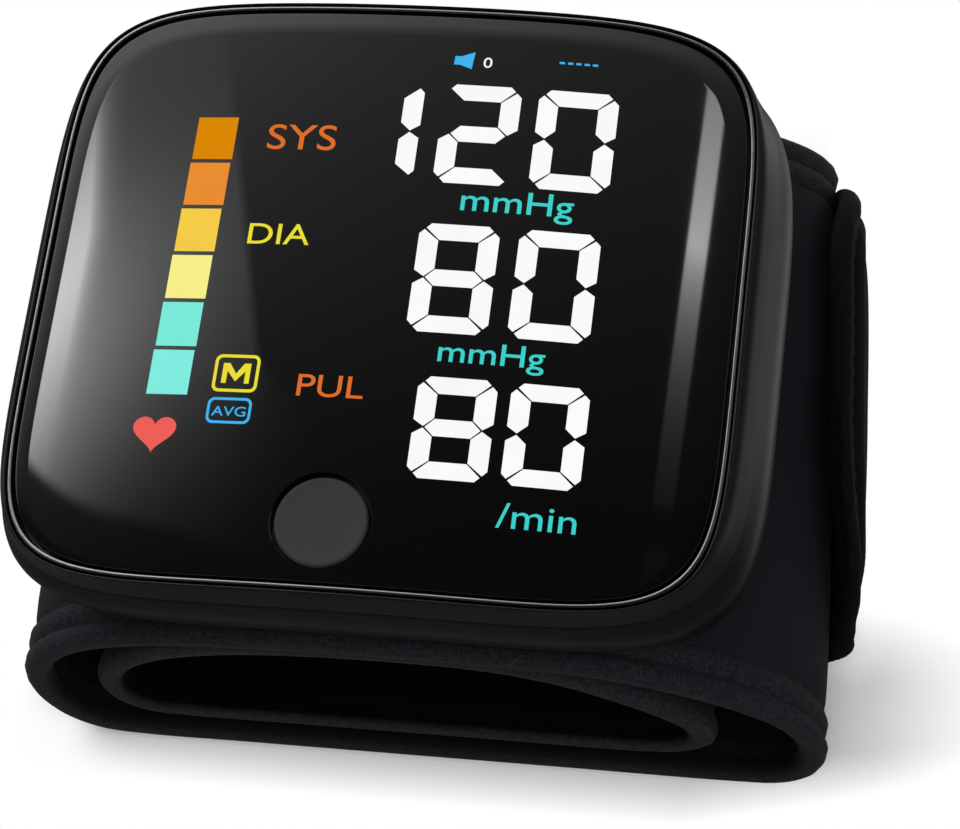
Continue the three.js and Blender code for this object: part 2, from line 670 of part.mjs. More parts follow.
// Loudspeaker on a soft ring that follows the curved floor
const speakerBase = floorTop + 0.7;
const speaker = turned(
  SPEAKER_X,
  SPEAKER_Y,
  [
    [0, speakerBase],
    [SPEAKER_RADIUS, speakerBase],
    [SPEAKER_RADIUS, speakerBase + 1.6],
    [6.4, speakerBase + 2.2],
    [6.4, speakerBase + 4],
    [0, speakerBase + 4],
  ],
  28,
);
const ringCore = post(SPEAKER_X, SPEAKER_Y, SPEAKER_RADIUS - 2, -PAST - 1, speakerBase + 1, 24);
let speakerRing = post(SPEAKER_X, SPEAKER_Y, SPEAKER_RADIUS, -PAST, speakerBase, 28).subtract(ringCore);
speakerRing = speakerRing.intersect(inside);

// Case screws
const screws = [];
for (const sy of [-1, 1]) {
  for (const sx of [-1, 1]) {
    const shank = post(sx * SCREW_X, sy * SCREW_Y, SCREW_RADIUS, headSeat - 0.5, BOSS_JOIN + 2.4, 12);
    const head = post(sx * SCREW_X, sy * SCREW_Y, SCREW_HEAD, headSeat - 1.3, headSeat, 16);
    const slot = block(
      sx * SCREW_X - 1.3,
      sx * SCREW_X + 1.3,
      sy * SCREW_Y - 0.25,
      sy * SCREW_Y + 0.25,
      headSeat - 2,
      headSeat - 0.8,
    );
    screws.push(shank.add(head).subtract(slot));
  }
}

// Middle line of the strap in the X Z plane, from the seam below round the left fold and over to the seam
const strapTop = RIM_HEIGHT - HOUSING_DEPTH - SEAT - STRAP_HALF;
const rise = (part) => STRAP_FLAT + part * (strapTop - STRAP_FLAT);
const strapPoints = [
  [39, STRAP_FLAT],
  [20, STRAP_FLAT],
  [0, STRAP_FLAT],
  [-20, STRAP_FLAT],
  [-33, STRAP_FLAT],
  [-38.3, rise(0.03)],
  [-41.8, rise(0.135)],
  [-43.6, rise(0.297)],
  [-43.7, rise(0.462)],
  [-42.2, rise(0.628)],
  [-38.7, rise(0.774)],
  [-33, rise(0.883)],
  [-25, strapTop - arch(25)],
  [-12, strapTop - arch(12)],
  [0, strapTop],
  [12, strapTop - arch(12)],
  [25, strapTop - arch(25)],
  [33, rise(0.868)],
  [39.8, rise(0.733)],
  [44.8, rise(0.568)],
  [47.1, rise(0.398)],
  [47.35, rise(0.237)],
  [46, rise(0.098)],
  [43, rise(0.017)],
  [39.4, STRAP_FLAT],
];
const linerTop = strapTop - STRAP_HALF - SEAT - LINER_HALF;
const linerBase = STRAP_FLAT + STRAP_HALF + SEAT + LINER_HALF;
const linerRise = (part) => linerBase + part * (linerTop - linerBase);
const linerPoints = [
  [0, linerTop],
  [-12, linerRise(0.974)],
  [-21, linerRise(0.901)],
  [-28.5, linerRise(0.76)],
  [-33.4, linerRise(0.557)],
  [-35.4, linerRise(0.344)],
  [-34.6, linerRise(0.146)],
  [-31.6, linerRise(0.026)],
  [-27, linerBase],
  [-10, linerBase],
  [10, linerBase],
  [28, linerBase],
  [32.8, linerRise(0.036)],
  [35.4, linerRise(0.156)],
  [35, linerRise(0.323)],
  [31.6, linerRise(0.521)],
  [26.4, linerRise(0.708)],
  [19.6, linerRise(0.875)],
  [12, linerRise(0.969)],
];

// Dense line through the points
function denseLine(points, closed) {
  const places = points.map(([x, z]) => new THREE.Vector3(x, 0, z));
  return new THREE.CatmullRomCurve3(places, closed, "centripetal").getSpacedPoints(1200);
}
const strapLine = denseLine(strapPoints, false);
const linerLine = denseLine(linerPoints, true);

// Part of a line whose points pass a test
function cutLine(line, keep) {
  return line.filter((p, i) => keep(p, i / (line.length - 1)));
}

// Width of the cuff at a height, and the lean of the right fold
function cuffHalfWidth(z) {
  return CUFF_HALF_WIDTH - CUFF_TAPER * z;
}
function foldSkew(x, y) {
  const part = THREE.MathUtils.smoothstep(x, 26, 46);
  return (-FOLD_SKEW * part * (y - CUFF_CENTRE_Y)) / CUFF_HALF_WIDTH;
}

// Edges of the cloth, as place across the width and part of the thickness: two sewn rolls, or one soft roll
const DOUBLE_ROLL = [
  [-1, 0.5],
  [-0.963, 0.95],
  [-0.926, 0.62],
  [-0.888, 0.94],
  [-0.85, 0.68],
  [-0.5, 0.95],
  [0, 1],
];
const SINGLE_ROLL = [[-1, 0.55], [-0.955, 0.98], [-0.9, 0.72], [-0.5, 0.92], [0, 1]];
const bothSides = (edge) => edge.concat(edge.slice(0, -1).reverse().map(([v, f]) => [-v, f]));
const strapSection = bothSides(DOUBLE_ROLL);
const linerSection = bothSides(SINGLE_ROLL);
const plainSection = [[-1, 1], [-0.5, 1], [0, 1], [0.5, 1], [1, 1]];

// Padded strip that follows a line: offsets to its two faces, front and back half widths, section and taper
function strip(line, count, outer, inner, width, section, options = {}) {
  const closed = options.closed || false;
  const stations = options.asIs ? [...line] : pickPoints(line, closed ? count + 1 : count, 14, 0.2);
  if (closed) stations.pop();
  const total = stations.length;
  const rings = stations.map((p, i) => {
    const before = stations[closed ? (i - 1 + total) % total : Math.max(i - 1, 0)];
    const after = stations[closed ? (i + 1) % total : Math.min(i + 1, total - 1)];
    const along = after.clone().sub(before).normalize();
    const normal = new THREE.Vector3(-along.z, 0, along.x);
    const fraction = i / (total - 1);
    const [frontWidth, backWidth] = width(p, fraction, i);
    const thin = options.thin ? options.thin(fraction) : 1;
    const point = (v, offset) => {
      const y = (options.centre ?? CUFF_CENTRE_Y) + v * (v < 0 ? frontWidth : backWidth);
      const at = p.clone().addScaledVector(normal, offset);
      const shift = foldSkew(at.x, y) - (options.bow ? options.bow(y, at.z) : 0);
      return new THREE.Vector3(at.x + shift, y, at.z);
    };
    const top = section.map(([v, f]) => point(v, outer * (outer > 0 ? f * thin : 1)));
    const base = section.map(([v, f]) => point(v, inner * (inner < 0 ? f * thin : 1)));
    return top.concat(base.reverse());
  });
  return loft(rings, closed ? "wrap" : "ladder");
}

// Outer strap: long side with the left fold and the flat underside, short side with the right fold
const midHeight = rise(0.6);
const splitAt = strapLine.findIndex((p) => p.z > midHeight && p.x > STRAP_SPLIT_X) / (strapLine.length - 1);
const longLine = cutLine(strapLine, (p, s) => s < splitAt - 0.0005);
const shortLine = cutLine(strapLine, (p, s) => s > splitAt + 0.0005);
const even = (half) => [half, half];
const strapWidth = (p) => even(cuffHalfWidth(p.z));
const underside = new THREE.BoxGeometry(5 * PAST, 5 * PAST, PAST);
underside.translate(0, 0, -PAST / 2);
const ground = solid(underside);
let longSide = strip(longLine, 34, STRAP_HALF, -STRAP_HALF, strapWidth, strapSection).subtract(ground);
let shortSide = strip(shortLine, 27, STRAP_HALF, -STRAP_HALF, strapWidth, strapSection).subtract(ground);

// Inner loop that carries the air bladder
const linerWidth = (p) => even(cuffHalfWidth(p.z) - LINER_INSET);
let innerLoop = strip(linerLine, 38, LINER_HALF, -LINER_HALF, linerWidth, linerSection, { closed: true });

// Part of a line between two places across, on its upper run
function upperRun(line, height, from, to) {
  return cutLine(line, (p) => p.z > height && p.x > from && p.x < to);
}

// Clamp plate in a pocket of the strap, and the bladder in a pocket of the inner loop
const plateLine = upperRun(strapLine, midHeight, PLATE_FRONT_X, PLATE_BACK_X);
const platePocket = upperRun(strapLine, midHeight, PLATE_FRONT_X - POCKET_GAP, PLATE_BACK_X + POCKET_GAP);
const plateWidth = even(PLATE_HALF_WIDTH);
const plateRoom = even(PLATE_HALF_WIDTH + POCKET_GAP);
const cuffPlateSolid = strip(plateLine, 10, -0.5, 0.1 - STRAP_HALF, () => plateWidth, plainSection);
const pocket = strip(platePocket, 10, -0.35, -STRAP_HALF - 1, () => plateRoom, plainSection);
const strapHole = post(0, PORT_Y, PORT_RADIUS + POCKET_GAP, midHeight - RIM_HEIGHT, 0, 16);
longSide = longSide.subtract(pocket).subtract(strapHole);
shortSide = shortSide.subtract(pocket);
const cuffPlate = cuffPlateSolid.subtract(portHole);
const topLine = linerLine.slice(-400).concat(linerLine.slice(1, 400));
const bladderLine = upperRun(topLine, midHeight, BLADDER_FRONT_X, BLADDER_BACK_X);
const bladderPocket = upperRun(topLine, midHeight, BLADDER_FRONT_X - POCKET_GAP, BLADDER_BACK_X + POCKET_GAP);
const bladderHalf = cuffHalfWidth(linerTop) - BLADDER_MARGIN;
const bladderSolid = strip(bladderLine, 12, 0.1 - LINER_HALF, -0.1, () => even(bladderHalf), plainSection);
const bladderRoom = even(bladderHalf + POCKET_GAP);
const bladderCut = strip(bladderPocket, 12, -LINER_HALF - 1, 0.2, () => bladderRoom, plainSection);
innerLoop = innerLoop.subtract(bladderCut);
const airBladder = bladderSolid.subtract(post(0, PORT_Y, PORT_RADIUS + SEAT, midHeight - RIM_HEIGHT, 0, 16));

// Loose end of the strap, sewn on outside the right fold, with its rounded corners and the hook patch
const tailPoints = [
  [50.2, rise(0.175)],
  [51.2, rise(0.265)],
  [52.2, rise(0.38)],
  [51.9, rise(0.51)],
  [49.4, rise(0.67)],
];
const tailDense = denseLine(tailPoints, false);
const tailLength = tailDense.slice(1).reduce((sum, p, i) => sum + p.distanceTo(tailDense[i]), 0);
const tailRoot = tailPoints[0][1];
const tailBelly = tailPoints[2][1];
function tailBow(y, z) {
  const across = (2 * (y - TAIL_CENTRE_Y)) / (TAIL_FRONT_WIDTH + TAIL_BACK_WIDTH);
  return TAIL_BOW * across ** 4 * THREE.MathUtils.smoothstep(z, tailRoot, tailBelly);
}
const TAIL_STATIONS = [0, 0.1, 0.22, 0.36, 0.5, 0.62, 0.72, 0.8, 0.87, 0.93, 0.97, 1];
const tailLine = TAIL_STATIONS.map((s) => tailDense[Math.round(s * (tailDense.length - 1))]);
function tailWidth(p, s, i) {
  const left = Math.min((1 - TAIL_STATIONS[i]) * tailLength, TAIL_CORNER_RISE);
  const cut = 1 - Math.sqrt(1 - (1 - left / TAIL_CORNER_RISE) ** 2);
  return [TAIL_FRONT_WIDTH - TAIL_FRONT_CORNER * cut, TAIL_BACK_WIDTH - TAIL_BACK_CORNER * cut];
}
const tailThin = (s) => 0.35 + 0.65 * Math.min(1, s * 5, 0.25 + (1 - s) * 8);
const tailShape = { thin: tailThin, asIs: true, centre: TAIL_CENTRE_Y, bow: tailBow };
const cuffTail = strip(tailLine, 0, TAIL_HALF, -TAIL_HALF, tailWidth, strapSection, tailShape);
const patchLine = tailDense.filter((p, i) => i > 260 && i < 800);
const patchWidth = even(HOOK_HALF_WIDTH);
const patchPlace = { centre: TAIL_CENTRE_Y, bow: tailBow };
const patchSeat = TAIL_HALF + PATCH_GAP;
const patchFace = TAIL_HALF + HOOK_THICK;
const hookPatch = strip(patchLine, 6, patchFace, patchSeat, () => patchWidth, plainSection, patchPlace);

addPiece("front_case", frontCase, 0x2b2c2e, 0.45);
addPiece("rear_case", rearCase, 0x26272a, 0.5);
addPiece("battery_door", batteryDoor, 0x26272a, 0.5);
addPiece("trim_ring", trimRing, 0xd8dadb, 0.22, 1);
addPiece("display_lens", displayLens, 0x0b0c0e, 0.08);
addPiece("lens_seal", lensSeal, 0x141414, 0.8);
addPiece("start_button", startButton, 0x383838, 0.55);
addPiece("switch_body", switchBody, 0x1c1c1e, 0.5);
addPiece("switch_plunger", switchPlunger, 0x8a2f24, 0.5);
addPiece("main_board", mainBoard, 0x1d5a37, 0.5);
addPiece("light_box", lightBox, 0xe8e8e4, 0.6);
addPiece("display_film", displayFilm, 0x17181a, 0.35);
addPiece("controller_chip", controllerChip, 0x1a1a1c, 0.45);
addPiece("power_coil", powerCoil, 0x3a3a3c, 0.5);
addPiece("battery_cell_1", cells[0], 0x9a9da0, 0.3, 0.6);
addPiece("battery_cell_2", cells[1], 0x9a9da0, 0.3, 0.6);
addPiece("battery_tray", batteryTray, 0x2f3032, 0.6);
addPiece("contact_link", contactLink, 0xc9ccce, 0.3, 1);
addPiece("contact_spring_1", springs[0], 0xc9ccce, 0.3, 1);
addPiece("contact_spring_2", springs[1], 0xc9ccce, 0.3, 1);
addPiece("pump_motor", motor, 0xb9bcbf, 0.3, 1);
addPiece("pump_head", pumpHead, 0x232426, 0.55);
addPiece("pump_crank", pumpCrank, 0xe6e4dc, 0.5);
addPiece("pump_pad", pumpPad, 0x1b1b1b, 0.9);
addPiece("air_manifold", manifold, 0xdcdcd6, 0.5);
addPiece("pressure_sensor", pressureSensor, 0x202124, 0.5);
addPiece("valve_body", valveBody, 0xb4b7ba, 0.35, 1);
addPiece("valve_plunger", valvePlunger, 0xc4c7c9, 0.3, 1);
addPiece("pump_hose", pumpHose, 0xd9d9d4, 0.6);
addPiece("cuff_hose", cuffHose, 0xd9d9d4, 0.6);
addPiece("air_port", airPort, 0x2a2b2d, 0.5);
addPiece("speaker", speaker, 0x2a2a2c, 0.5);
addPiece("speaker_ring", speakerRing, 0x1a1a1a, 0.9);
screws.forEach((shape, i) => addPiece("case_screw_" + (i + 1), shape, 0x8e9194, 0.35, 1));
addPiece("cuff_plate", cuffPlate, 0x303133, 0.5);
addPiece("cuff_long_side", longSide, 0x15171b, 0.9);
addPiece("cuff_short_side", shortSide, 0x15171b, 0.9);
addPiece("cuff_inner_loop", innerLoop, 0x1a1c1f, 0.9);
addPiece("air_bladder", airBladder, 0x55585c, 0.6);
addPiece("cuff_tail", cuffTail, 0x15171b, 0.9);
addPiece("hook_patch", hookPatch, 0x101114, 0.95);

// Origin under the middle of the part
const box = new THREE.Box3();
for (const mesh of pieces) {
  mesh.geometry.computeBoundingBox();
  box.union(mesh.geometry.boundingBox);
}
const middle = box.getCenter(new THREE.Vector3());
for (const mesh of pieces) mesh.geometry.translate(-middle.x, -middle.y, -box.min.z);

export default group;
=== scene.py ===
import math

import bmesh
import bpy
import numpy as np
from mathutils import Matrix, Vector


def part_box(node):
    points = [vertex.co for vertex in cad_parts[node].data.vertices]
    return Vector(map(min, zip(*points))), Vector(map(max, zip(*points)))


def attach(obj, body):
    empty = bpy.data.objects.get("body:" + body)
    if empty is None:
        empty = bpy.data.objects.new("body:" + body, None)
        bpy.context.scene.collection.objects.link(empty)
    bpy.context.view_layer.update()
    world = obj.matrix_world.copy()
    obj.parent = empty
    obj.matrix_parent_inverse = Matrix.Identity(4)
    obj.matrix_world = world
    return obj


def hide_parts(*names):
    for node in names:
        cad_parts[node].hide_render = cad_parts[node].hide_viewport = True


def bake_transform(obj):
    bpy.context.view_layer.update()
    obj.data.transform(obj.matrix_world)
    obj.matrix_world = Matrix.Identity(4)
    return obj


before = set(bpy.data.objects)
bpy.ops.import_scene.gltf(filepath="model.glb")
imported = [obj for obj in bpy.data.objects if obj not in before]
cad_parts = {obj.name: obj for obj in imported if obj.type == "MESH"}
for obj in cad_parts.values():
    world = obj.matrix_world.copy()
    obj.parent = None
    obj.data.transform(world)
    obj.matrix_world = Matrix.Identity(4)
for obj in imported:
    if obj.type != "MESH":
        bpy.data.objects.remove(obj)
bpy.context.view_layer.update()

MM = 0.001

# Face of the housing, measured from the middle of its bright trim
FACE_HALF_X = 40.0
FACE_HALF_Y = 35.6
FACE_POWER = 6.1
WALL_POWER = 5.2
FLOOR_POWER = 5.0
ARCH_DROP = 3.2
LENS_TOP = -0.1
LENS_THICK = 1.6
SEAL_THICK = 0.25
LEDGE_THICK = 1.4
LEDGE_WIDTH = 2.4
TRIM_HALF_WIDTH = 0.28
TRIM_DEPTH = 1.5
LENS_GAP = 0.32
LENS_BEVEL = 0.25
RECESS_GAP = 0.15

# Housing walls
SPLIT_DEPTH = 5.0
SPLIT_GAP = 0.3
MAX_X = FACE_HALF_X + 4.15
MAX_Y = FACE_HALF_Y + 1.2
HOUSING_DEPTH = 22.0
WALL = 1.8

# Shoulder of the front shell: steps out from the recess in X and Y, corner power, part of the depth
SHOULDER = [
    (2.6, 0.55, 5.0, 0.93),
    (1.75, 0.46, 5.2, 0.5),
    (1.0, 0.34, 5.6, 0.16),
    (0.5, 0.26, 5.9, 0.03),
    (0.22, 0.18, 6.0, 0.0),
]
OUTLINE_COUNT = 208

# Start button
BUTTON_X = -2.6
BUTTON_Y = -28.0
BUTTON_RADIUS = 5.25
BUTTON_HOLE = 5.6
BUTTON_TOP = -0.35
BUTTON_FLANGE = 5.95
BUTTON_ROUND = 0.4
BUTTON_DISH = 0.12
FLANGE_GAP = 0.35
FLANGE_THICK = 0.8
STEM_RADIUS = 1.5
STEM_BASE = -3.5

# Battery door and screws
DOOR_HALF_Y = 24.0
DOOR_TOP = -9.9
DOOR_BOTTOM = -20.6
DOOR_GAP = 0.2
SCREW_X = FACE_HALF_X - 7.0
SCREW_Y = FACE_HALF_Y - 6.4
PORT_Y = 4.0

# Cuff
STRAP_HALF = 1.8
STRAP_FLAT = 1.3
LINER_HALF = 1.6
LINER_INSET = 1.2
CUFF_CENTRE_Y = 0.95
CUFF_HALF_WIDTH = 40.05
CUFF_TAPER = 0.14
FOLD_SKEW = 2.35
TAIL_HALF = 1.45
TAIL_CENTRE_Y = 5.4
TAIL_WIDTHS = {-1: 29.6, 1: 31.5}
TAIL_CORNERS = {-1: 28.0, 1: 16.0}
TAIL_CORNER_RISE = 13.2
TAIL_BOW = 2.1
HOOK_HALF_WIDTH = 14.0
SEAT = 0.3

# Where the face lies in the frame
lens_low, lens_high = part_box("display_lens")
FACE_X = (lens_low.x + lens_high.x) / 2
FACE_Y = (lens_low.y + lens_high.y) / 2
RIM_HEIGHT = lens_high.z / MM - LENS_TOP

# Camera at the photograph's angle
CAMERA_PLACE = (0.068343, -0.134310, 0.341858)
CAMERA_TURN = (23.2331, 7.8514, 7.0376)
CAMERA_LENS = 109.92

WHITE = (1.0, 1.0, 1.0, 1.0)


def put(name, data):
    thing = bpy.data.objects.new(name, data)
    bpy.context.scene.collection.objects.link(thing)
    return thing


camera_data = bpy.data.cameras.new("camera")
camera_data.lens = CAMERA_LENS
camera_data.sensor_width = 36.0
camera_data.sensor_fit = "HORIZONTAL"
camera_data.clip_start = 0.01
camera = put("camera", camera_data)
camera.location = (CAMERA_PLACE[0] + FACE_X, CAMERA_PLACE[1] + FACE_Y, CAMERA_PLACE[2])
camera.rotation_euler = [math.radians(turn) for turn in CAMERA_TURN]
bpy.context.scene.camera = camera
bpy.context.scene.view_settings.view_transform = "Standard"


# Colour written as hex, as the shader wants it
def tint(code):
    parts = [int(code[i:i + 2], 16) / 255 for i in (1, 3, 5)]
    linear = [c / 12.92 if c <= 0.04045 else ((c + 0.055) / 1.055) ** 2.4 for c in parts]
    return (*linear, 1.0)


# The same colour with a part of its light
def shaded(code, share):
    return (*(c * share for c in tint(code)[:3]), 1.0)


# Sum of a value with another, the same with the two the other way round, and function of a value alone
def of_two(operation):
    return lambda self, other: self.sum(operation, self, other)


def reflected(operation):
    return lambda self, other: self.sum(operation, other, self)


def of_one(operation):
    return lambda self: self.sum(operation, self)


class Value:
    """A number socket of a node tree that takes part in sums."""

    def __init__(self, finish, socket):
        self.finish = finish
        self.socket = socket

    def sum(self, operation, *terms):
        return self.finish.value("ShaderNodeMath", 0, dict(enumerate(terms)), operation=operation)

    def clip(self):
        return self.most(0.0).least(1.0)

    __add__ = of_two("ADD")
    __radd__ = reflected("ADD")
    __sub__ = of_two("SUBTRACT")
    __rsub__ = reflected("SUBTRACT")
    __mul__ = of_two("MULTIPLY")
    __rmul__ = reflected("MULTIPLY")
    __truediv__ = of_two("DIVIDE")
    __rtruediv__ = reflected("DIVIDE")
    __pow__ = of_two("POWER")
    least = of_two("MINIMUM")
    most = of_two("MAXIMUM")
    __abs__ = of_one("ABSOLUTE")
    wave = of_one("SINE")
    exp = of_one("EXPONENT")


class Finish:
    """A node tree of a material or of the world."""

    def __init__(self, owner):
        owner.use_nodes = True
        self.owner = owner
        self.tree = owner.node_tree
        self.tree.nodes.clear()

    def node(self, kind, inputs=None, **settings):
        made = self.tree.nodes.new(kind)
        for key, value in settings.items():
            setattr(made, key, value)
        for key, value in (inputs or {}).items():
            if isinstance(value, Value):
                self.tree.links.new(value.socket, made.inputs[key])
            else:
                made.inputs[key].default_value = value
        return made

    def value(self, kind, output=0, inputs=None, **settings):
        return Value(self, self.node(kind, inputs, **settings).outputs[output])

    def place(self, kind="Object"):
        return self.value("ShaderNodeTexCoord", kind)

    def ray(self, kind):
        return self.value("ShaderNodeLightPath", kind)

    def share(self, name):
        return self.value("ShaderNodeAttribute", "Fac", attribute_name=name)

    def axes(self, vector):
        split = self.node("ShaderNodeSeparateXYZ", {0: vector})
        return [Value(self, socket) for socket in split.outputs]

    def noise(self, scale, detail=2.0, stretch=None):
        vector = self.place()
        if stretch:
            vector = self.value("ShaderNodeMapping", 0, {"Vector": vector, "Scale": stretch})
        return self.value("ShaderNodeTexNoise", "Fac", {"Vector": vector, "Scale": scale, "Detail": detail})

    def mix(self, share, first, second):
        return self.value("ShaderNodeMix", 2, {0: share, 6: first, 7: second}, data_type="RGBA")

    def bump(self, height, strength, distance):
        inputs = {"Height": height, "Strength": strength, "Distance": distance}
        return self.value("ShaderNodeBump", 0, inputs)

    def glow(self, strength):
        return self.value("ShaderNodeEmission", 0, {"Color": WHITE, "Strength": strength})

    def blend(self, share, first, second):
        return self.value("ShaderNodeMixShader", 0, {0: share, 1: first, 2: second})

    def surface(self, **inputs):
        named = {name.replace("_", " "): value for name, value in inputs.items()}
        made = self.value("ShaderNodeBsdfPrincipled", 0, named)
        self.node("ShaderNodeOutputMaterial", {"Surface": made})
        return self.owner


def new_finish(name):
    return Finish(bpy.data.materials.new(name))


# Moulded plastic: fine grain, slightly uneven gloss and colour
UNEVEN = 0.12


def moulded(name, colour, roughness, grain=0.1, pitch=0.4, shine=0.5):
    finish = new_finish(name)
    grains = finish.noise(1.0 / (pitch * MM), 3.0)
    cloud = finish.noise(90.0, 2.0)
    shade = finish.mix(cloud, tint(colour), shaded(colour, 1.0 - UNEVEN))
    return finish.surface(
        Base_Color=shade,
        Roughness=(cloud - 0.5) * 0.12 + (grains - 0.5) * 0.06 + roughness,
        Normal=finish.bump(grains, grain, 0.05 * MM),
        Specular_IOR_Level=shine,
    )


# Metal with fine lines along one direction
def brushed(name, colour, roughness, stretch=(1, 12, 1), lines=900.0):
    finish = new_finish(name)
    streaks = finish.noise(lines, 3.0, stretch)
    cloud = finish.noise(140.0)
    return finish.surface(
        Base_Color=finish.mix(cloud, tint(colour), shaded(colour, 0.82)),
        Metallic=1.0,
        Roughness=(streaks - 0.5) * 0.2 + roughness,
        Normal=finish.bump(streaks, 0.06, 0.03 * MM),
    )


# Rubber and foam: dull, with a coarse soft grain
def rubbery(name, colour, pitch=0.7):
    finish = new_finish(name)
    grains = finish.noise(1.0 / (pitch * MM), 4.0)
    return finish.surface(
        Base_Color=finish.mix(grains, shaded(colour, 0.6), tint(colour)),
        Roughness=(grains - 0.5) * 0.15 + 0.8,
        Normal=finish.bump(grains, 0.3, 0.1 * MM),
    )


# Lit mark of the display, a little uneven as a lamp behind a film is
def lit(name, colour):
    finish = new_finish(name)
    cloud = finish.noise(220.0)
    return finish.surface(
        Base_Color=(0.0, 0.0, 0.0, 1.0),
        Roughness=0.5,
        Specular_IOR_Level=0.0,
        Emission_Color=finish.mix(cloud, tint(colour), shaded(colour, 0.9)),
        Emission_Strength=1.0,
    )


# Black window: deep gloss with a trace of handling in the roughness
def window_gloss():
    finish = new_finish("window_gloss")
    wipes = finish.noise(60.0, 4.0, (1, 3, 1))
    return finish.surface(
        Base_Color=finish.mix(wipes, (0.0016, 0.0016, 0.0018, 1.0), (0.0022, 0.0022, 0.0024, 1.0)),
        Roughness=wipes * 0.02 + 0.015,
        IOR=1.58,
    )


# Cuff cloth: plain weave on the panel, a ribbed binding rolled along the edges, and painted shade on the face
# inside the loop, as a darker copy of the panel colour
THREAD_PITCH = 0.62
RIB_PITCH = 0.9


def cuff_cloth(name, panel, binding, sheen=0.02):
    finish = new_finish(name)
    along, across, _ = finish.axes(finish.value("ShaderNodeUVMap"))
    hem = finish.share("hem")
    inside = finish.share("inside")
    turn = 2 * math.pi / THREAD_PITCH
    weave = (along * turn).wave() * (across * turn).wave() * 0.5 + 0.5
    rib = ((along + across * 0.6) * (2 * math.pi / RIB_PITCH)).wave() * 0.5 + 0.5
    fuzz = finish.noise(2600.0, 4.0)
    cloud = finish.noise(70.0, 3.0)
    height = weave * (1 - hem) * 0.16 + rib * hem * 0.08 + fuzz * 0.6
    panel_shade = finish.mix(cloud * 0.8 + weave * 0.2, shaded(panel, 0.7), tint(panel))
    binding_shade = finish.mix(((fuzz - 0.35) * 3.0).clip(), shaded(binding, 0.35), tint(binding))
    outer_shade = finish.mix(hem, panel_shade, binding_shade)
    return finish.surface(
        # The face inside the loop takes painted shade: the panel colour at 0.4
        Base_Color=finish.mix(inside, outer_shade, shaded(panel, 0.4)),
        Roughness=fuzz * 0.2 + 0.68,
        Normal=finish.bump(height, 0.55, 0.16 * MM),
        Specular_IOR_Level=0.15,
        Sheen_Weight=sheen,
        Sheen_Roughness=0.45,
    )


# Printed circuit board: green lacquer over a faint copper pattern
def circuit_lacquer():
    finish = new_finish("circuit_lacquer")
    black = (0.0, 0.0, 0.0, 1.0)
    inputs = {"Vector": finish.place(), "Scale": 260.0, "Color1": WHITE, "Color2": black, "Mortar Size": 0.05}
    checks = finish.value("ShaderNodeTexBrick", "Fac", inputs)
    cloud = finish.noise(300.0)
    return finish.surface(
        Base_Color=finish.mix(checks * 0.7 + cloud * 0.2, tint("#1d5a37"), tint("#3f8a4e")),
        Roughness=cloud * 0.1 + 0.38,
        Normal=finish.bump(checks, 0.2, 0.05 * MM),
    )


# Cell jacket: printed film with two bands along its length
def cell_film():
    finish = new_finish("cell_film")
    along = finish.axes(finish.place())[1]
    band = ((along - FACE_Y - 0.012) * 4000.0).clip()
    cloud = finish.noise(200.0)
    return finish.surface(
        Base_Color=finish.mix(band, tint("#2d3238"), tint("#b07a35")),
        Metallic=band * 0.5 + 0.3,
        Roughness=cloud * 0.12 + 0.28,
    )


case_satin = moulded("case_satin", "#0c0c0d", 0.32, grain=0.06, pitch=0.3, shine=0.42)
rear_satin = moulded("rear_satin", "#0b0b0c", 0.34, grain=0.09, pitch=0.35, shine=0.42)
button_matt = moulded("button_matt", "#2c2c2d", 0.6, grain=0.16, pitch=0.25)
trim_bright = brushed("trim_bright", "#b4b6b8", 0.3, (1, 1, 6))
strap_cloth = cuff_cloth("strap_cloth", "#191b1f", "#27292d")
tail_cloth = cuff_cloth("tail_cloth", "#060607", "#0d0e10", 0.01)
liner_cloth = cuff_cloth("liner_cloth", "#0c0c0e", "#2b2d31")
thread_grey = cuff_cloth("thread_grey", "#1f2124", "#1f2124")
hook_nylon = rubbery("hook_nylon", "#1a1b1e", 0.5)
white_resin = moulded("white_resin", "#dededa", 0.5)
dark_resin = moulded("dark_resin", "#232427", 0.5, grain=0.14)
film_dark = moulded("film_dark", "#17181a", 0.32)
plunger_red = moulded("plunger_red", "#8a2f24", 0.5)
seal_rubber = rubbery("seal_rubber", "#1a1a1a")
bladder_vinyl = rubbery("bladder_vinyl", "#5a5d61", 1.2)
hose_silicone = moulded("hose_silicone", "#d4d4ce", 0.45, grain=0.05)
steel_plain = brushed("steel_plain", "#b9bcbf", 0.28)
window_black = window_gloss()
board_green = circuit_lacquer()
cell_jacket = cell_film()


# Rounded-square outline, closer points at the corners
def outline(half_x, half_y, power):
    angle = np.linspace(0.0, math.pi / 2, 2001)
    c = np.cos(angle)
    s = np.sin(angle)
    radius = ((c / half_x) ** power + (s / half_y) ** power) ** (-1 / power)
    x = radius * c
    y = radius * s
    step = np.hypot(np.diff(x), np.diff(y))
    turn = np.abs(np.gradient(np.unwrap(np.arctan2(np.diff(y), np.diff(x)))))
    weight = np.concatenate([[0.0], np.cumsum(step / half_x + 1.1 * turn)])
    want = np.linspace(0.0, weight[-1], OUTLINE_COUNT // 4 + 1)
    quarter = np.stack([np.interp(want, weight, x), np.interp(want, weight, y)], 1)
    back = quarter[::-1]
    sides = [quarter[:-1], back[:-1] * (-1, 1), -quarter[:-1], back[:-1] * (1, -1)]
    return np.vstack(sides)


def arch(x):
    return ARCH_DROP * (x / FACE_HALF_X) ** 2


# Millimetres from the face's middle and the ground to the frame
def to_frame(points):
    points = np.asarray(points, float) * MM
    return points + (FACE_X, FACE_Y, 0.0)


def raised(flat, depth):
    return np.column_stack([flat, RIM_HEIGHT + depth - arch(flat[:, 0])])


def ring(half_x, half_y, power, depth):
    return raised(outline(half_x, half_y, power), depth)


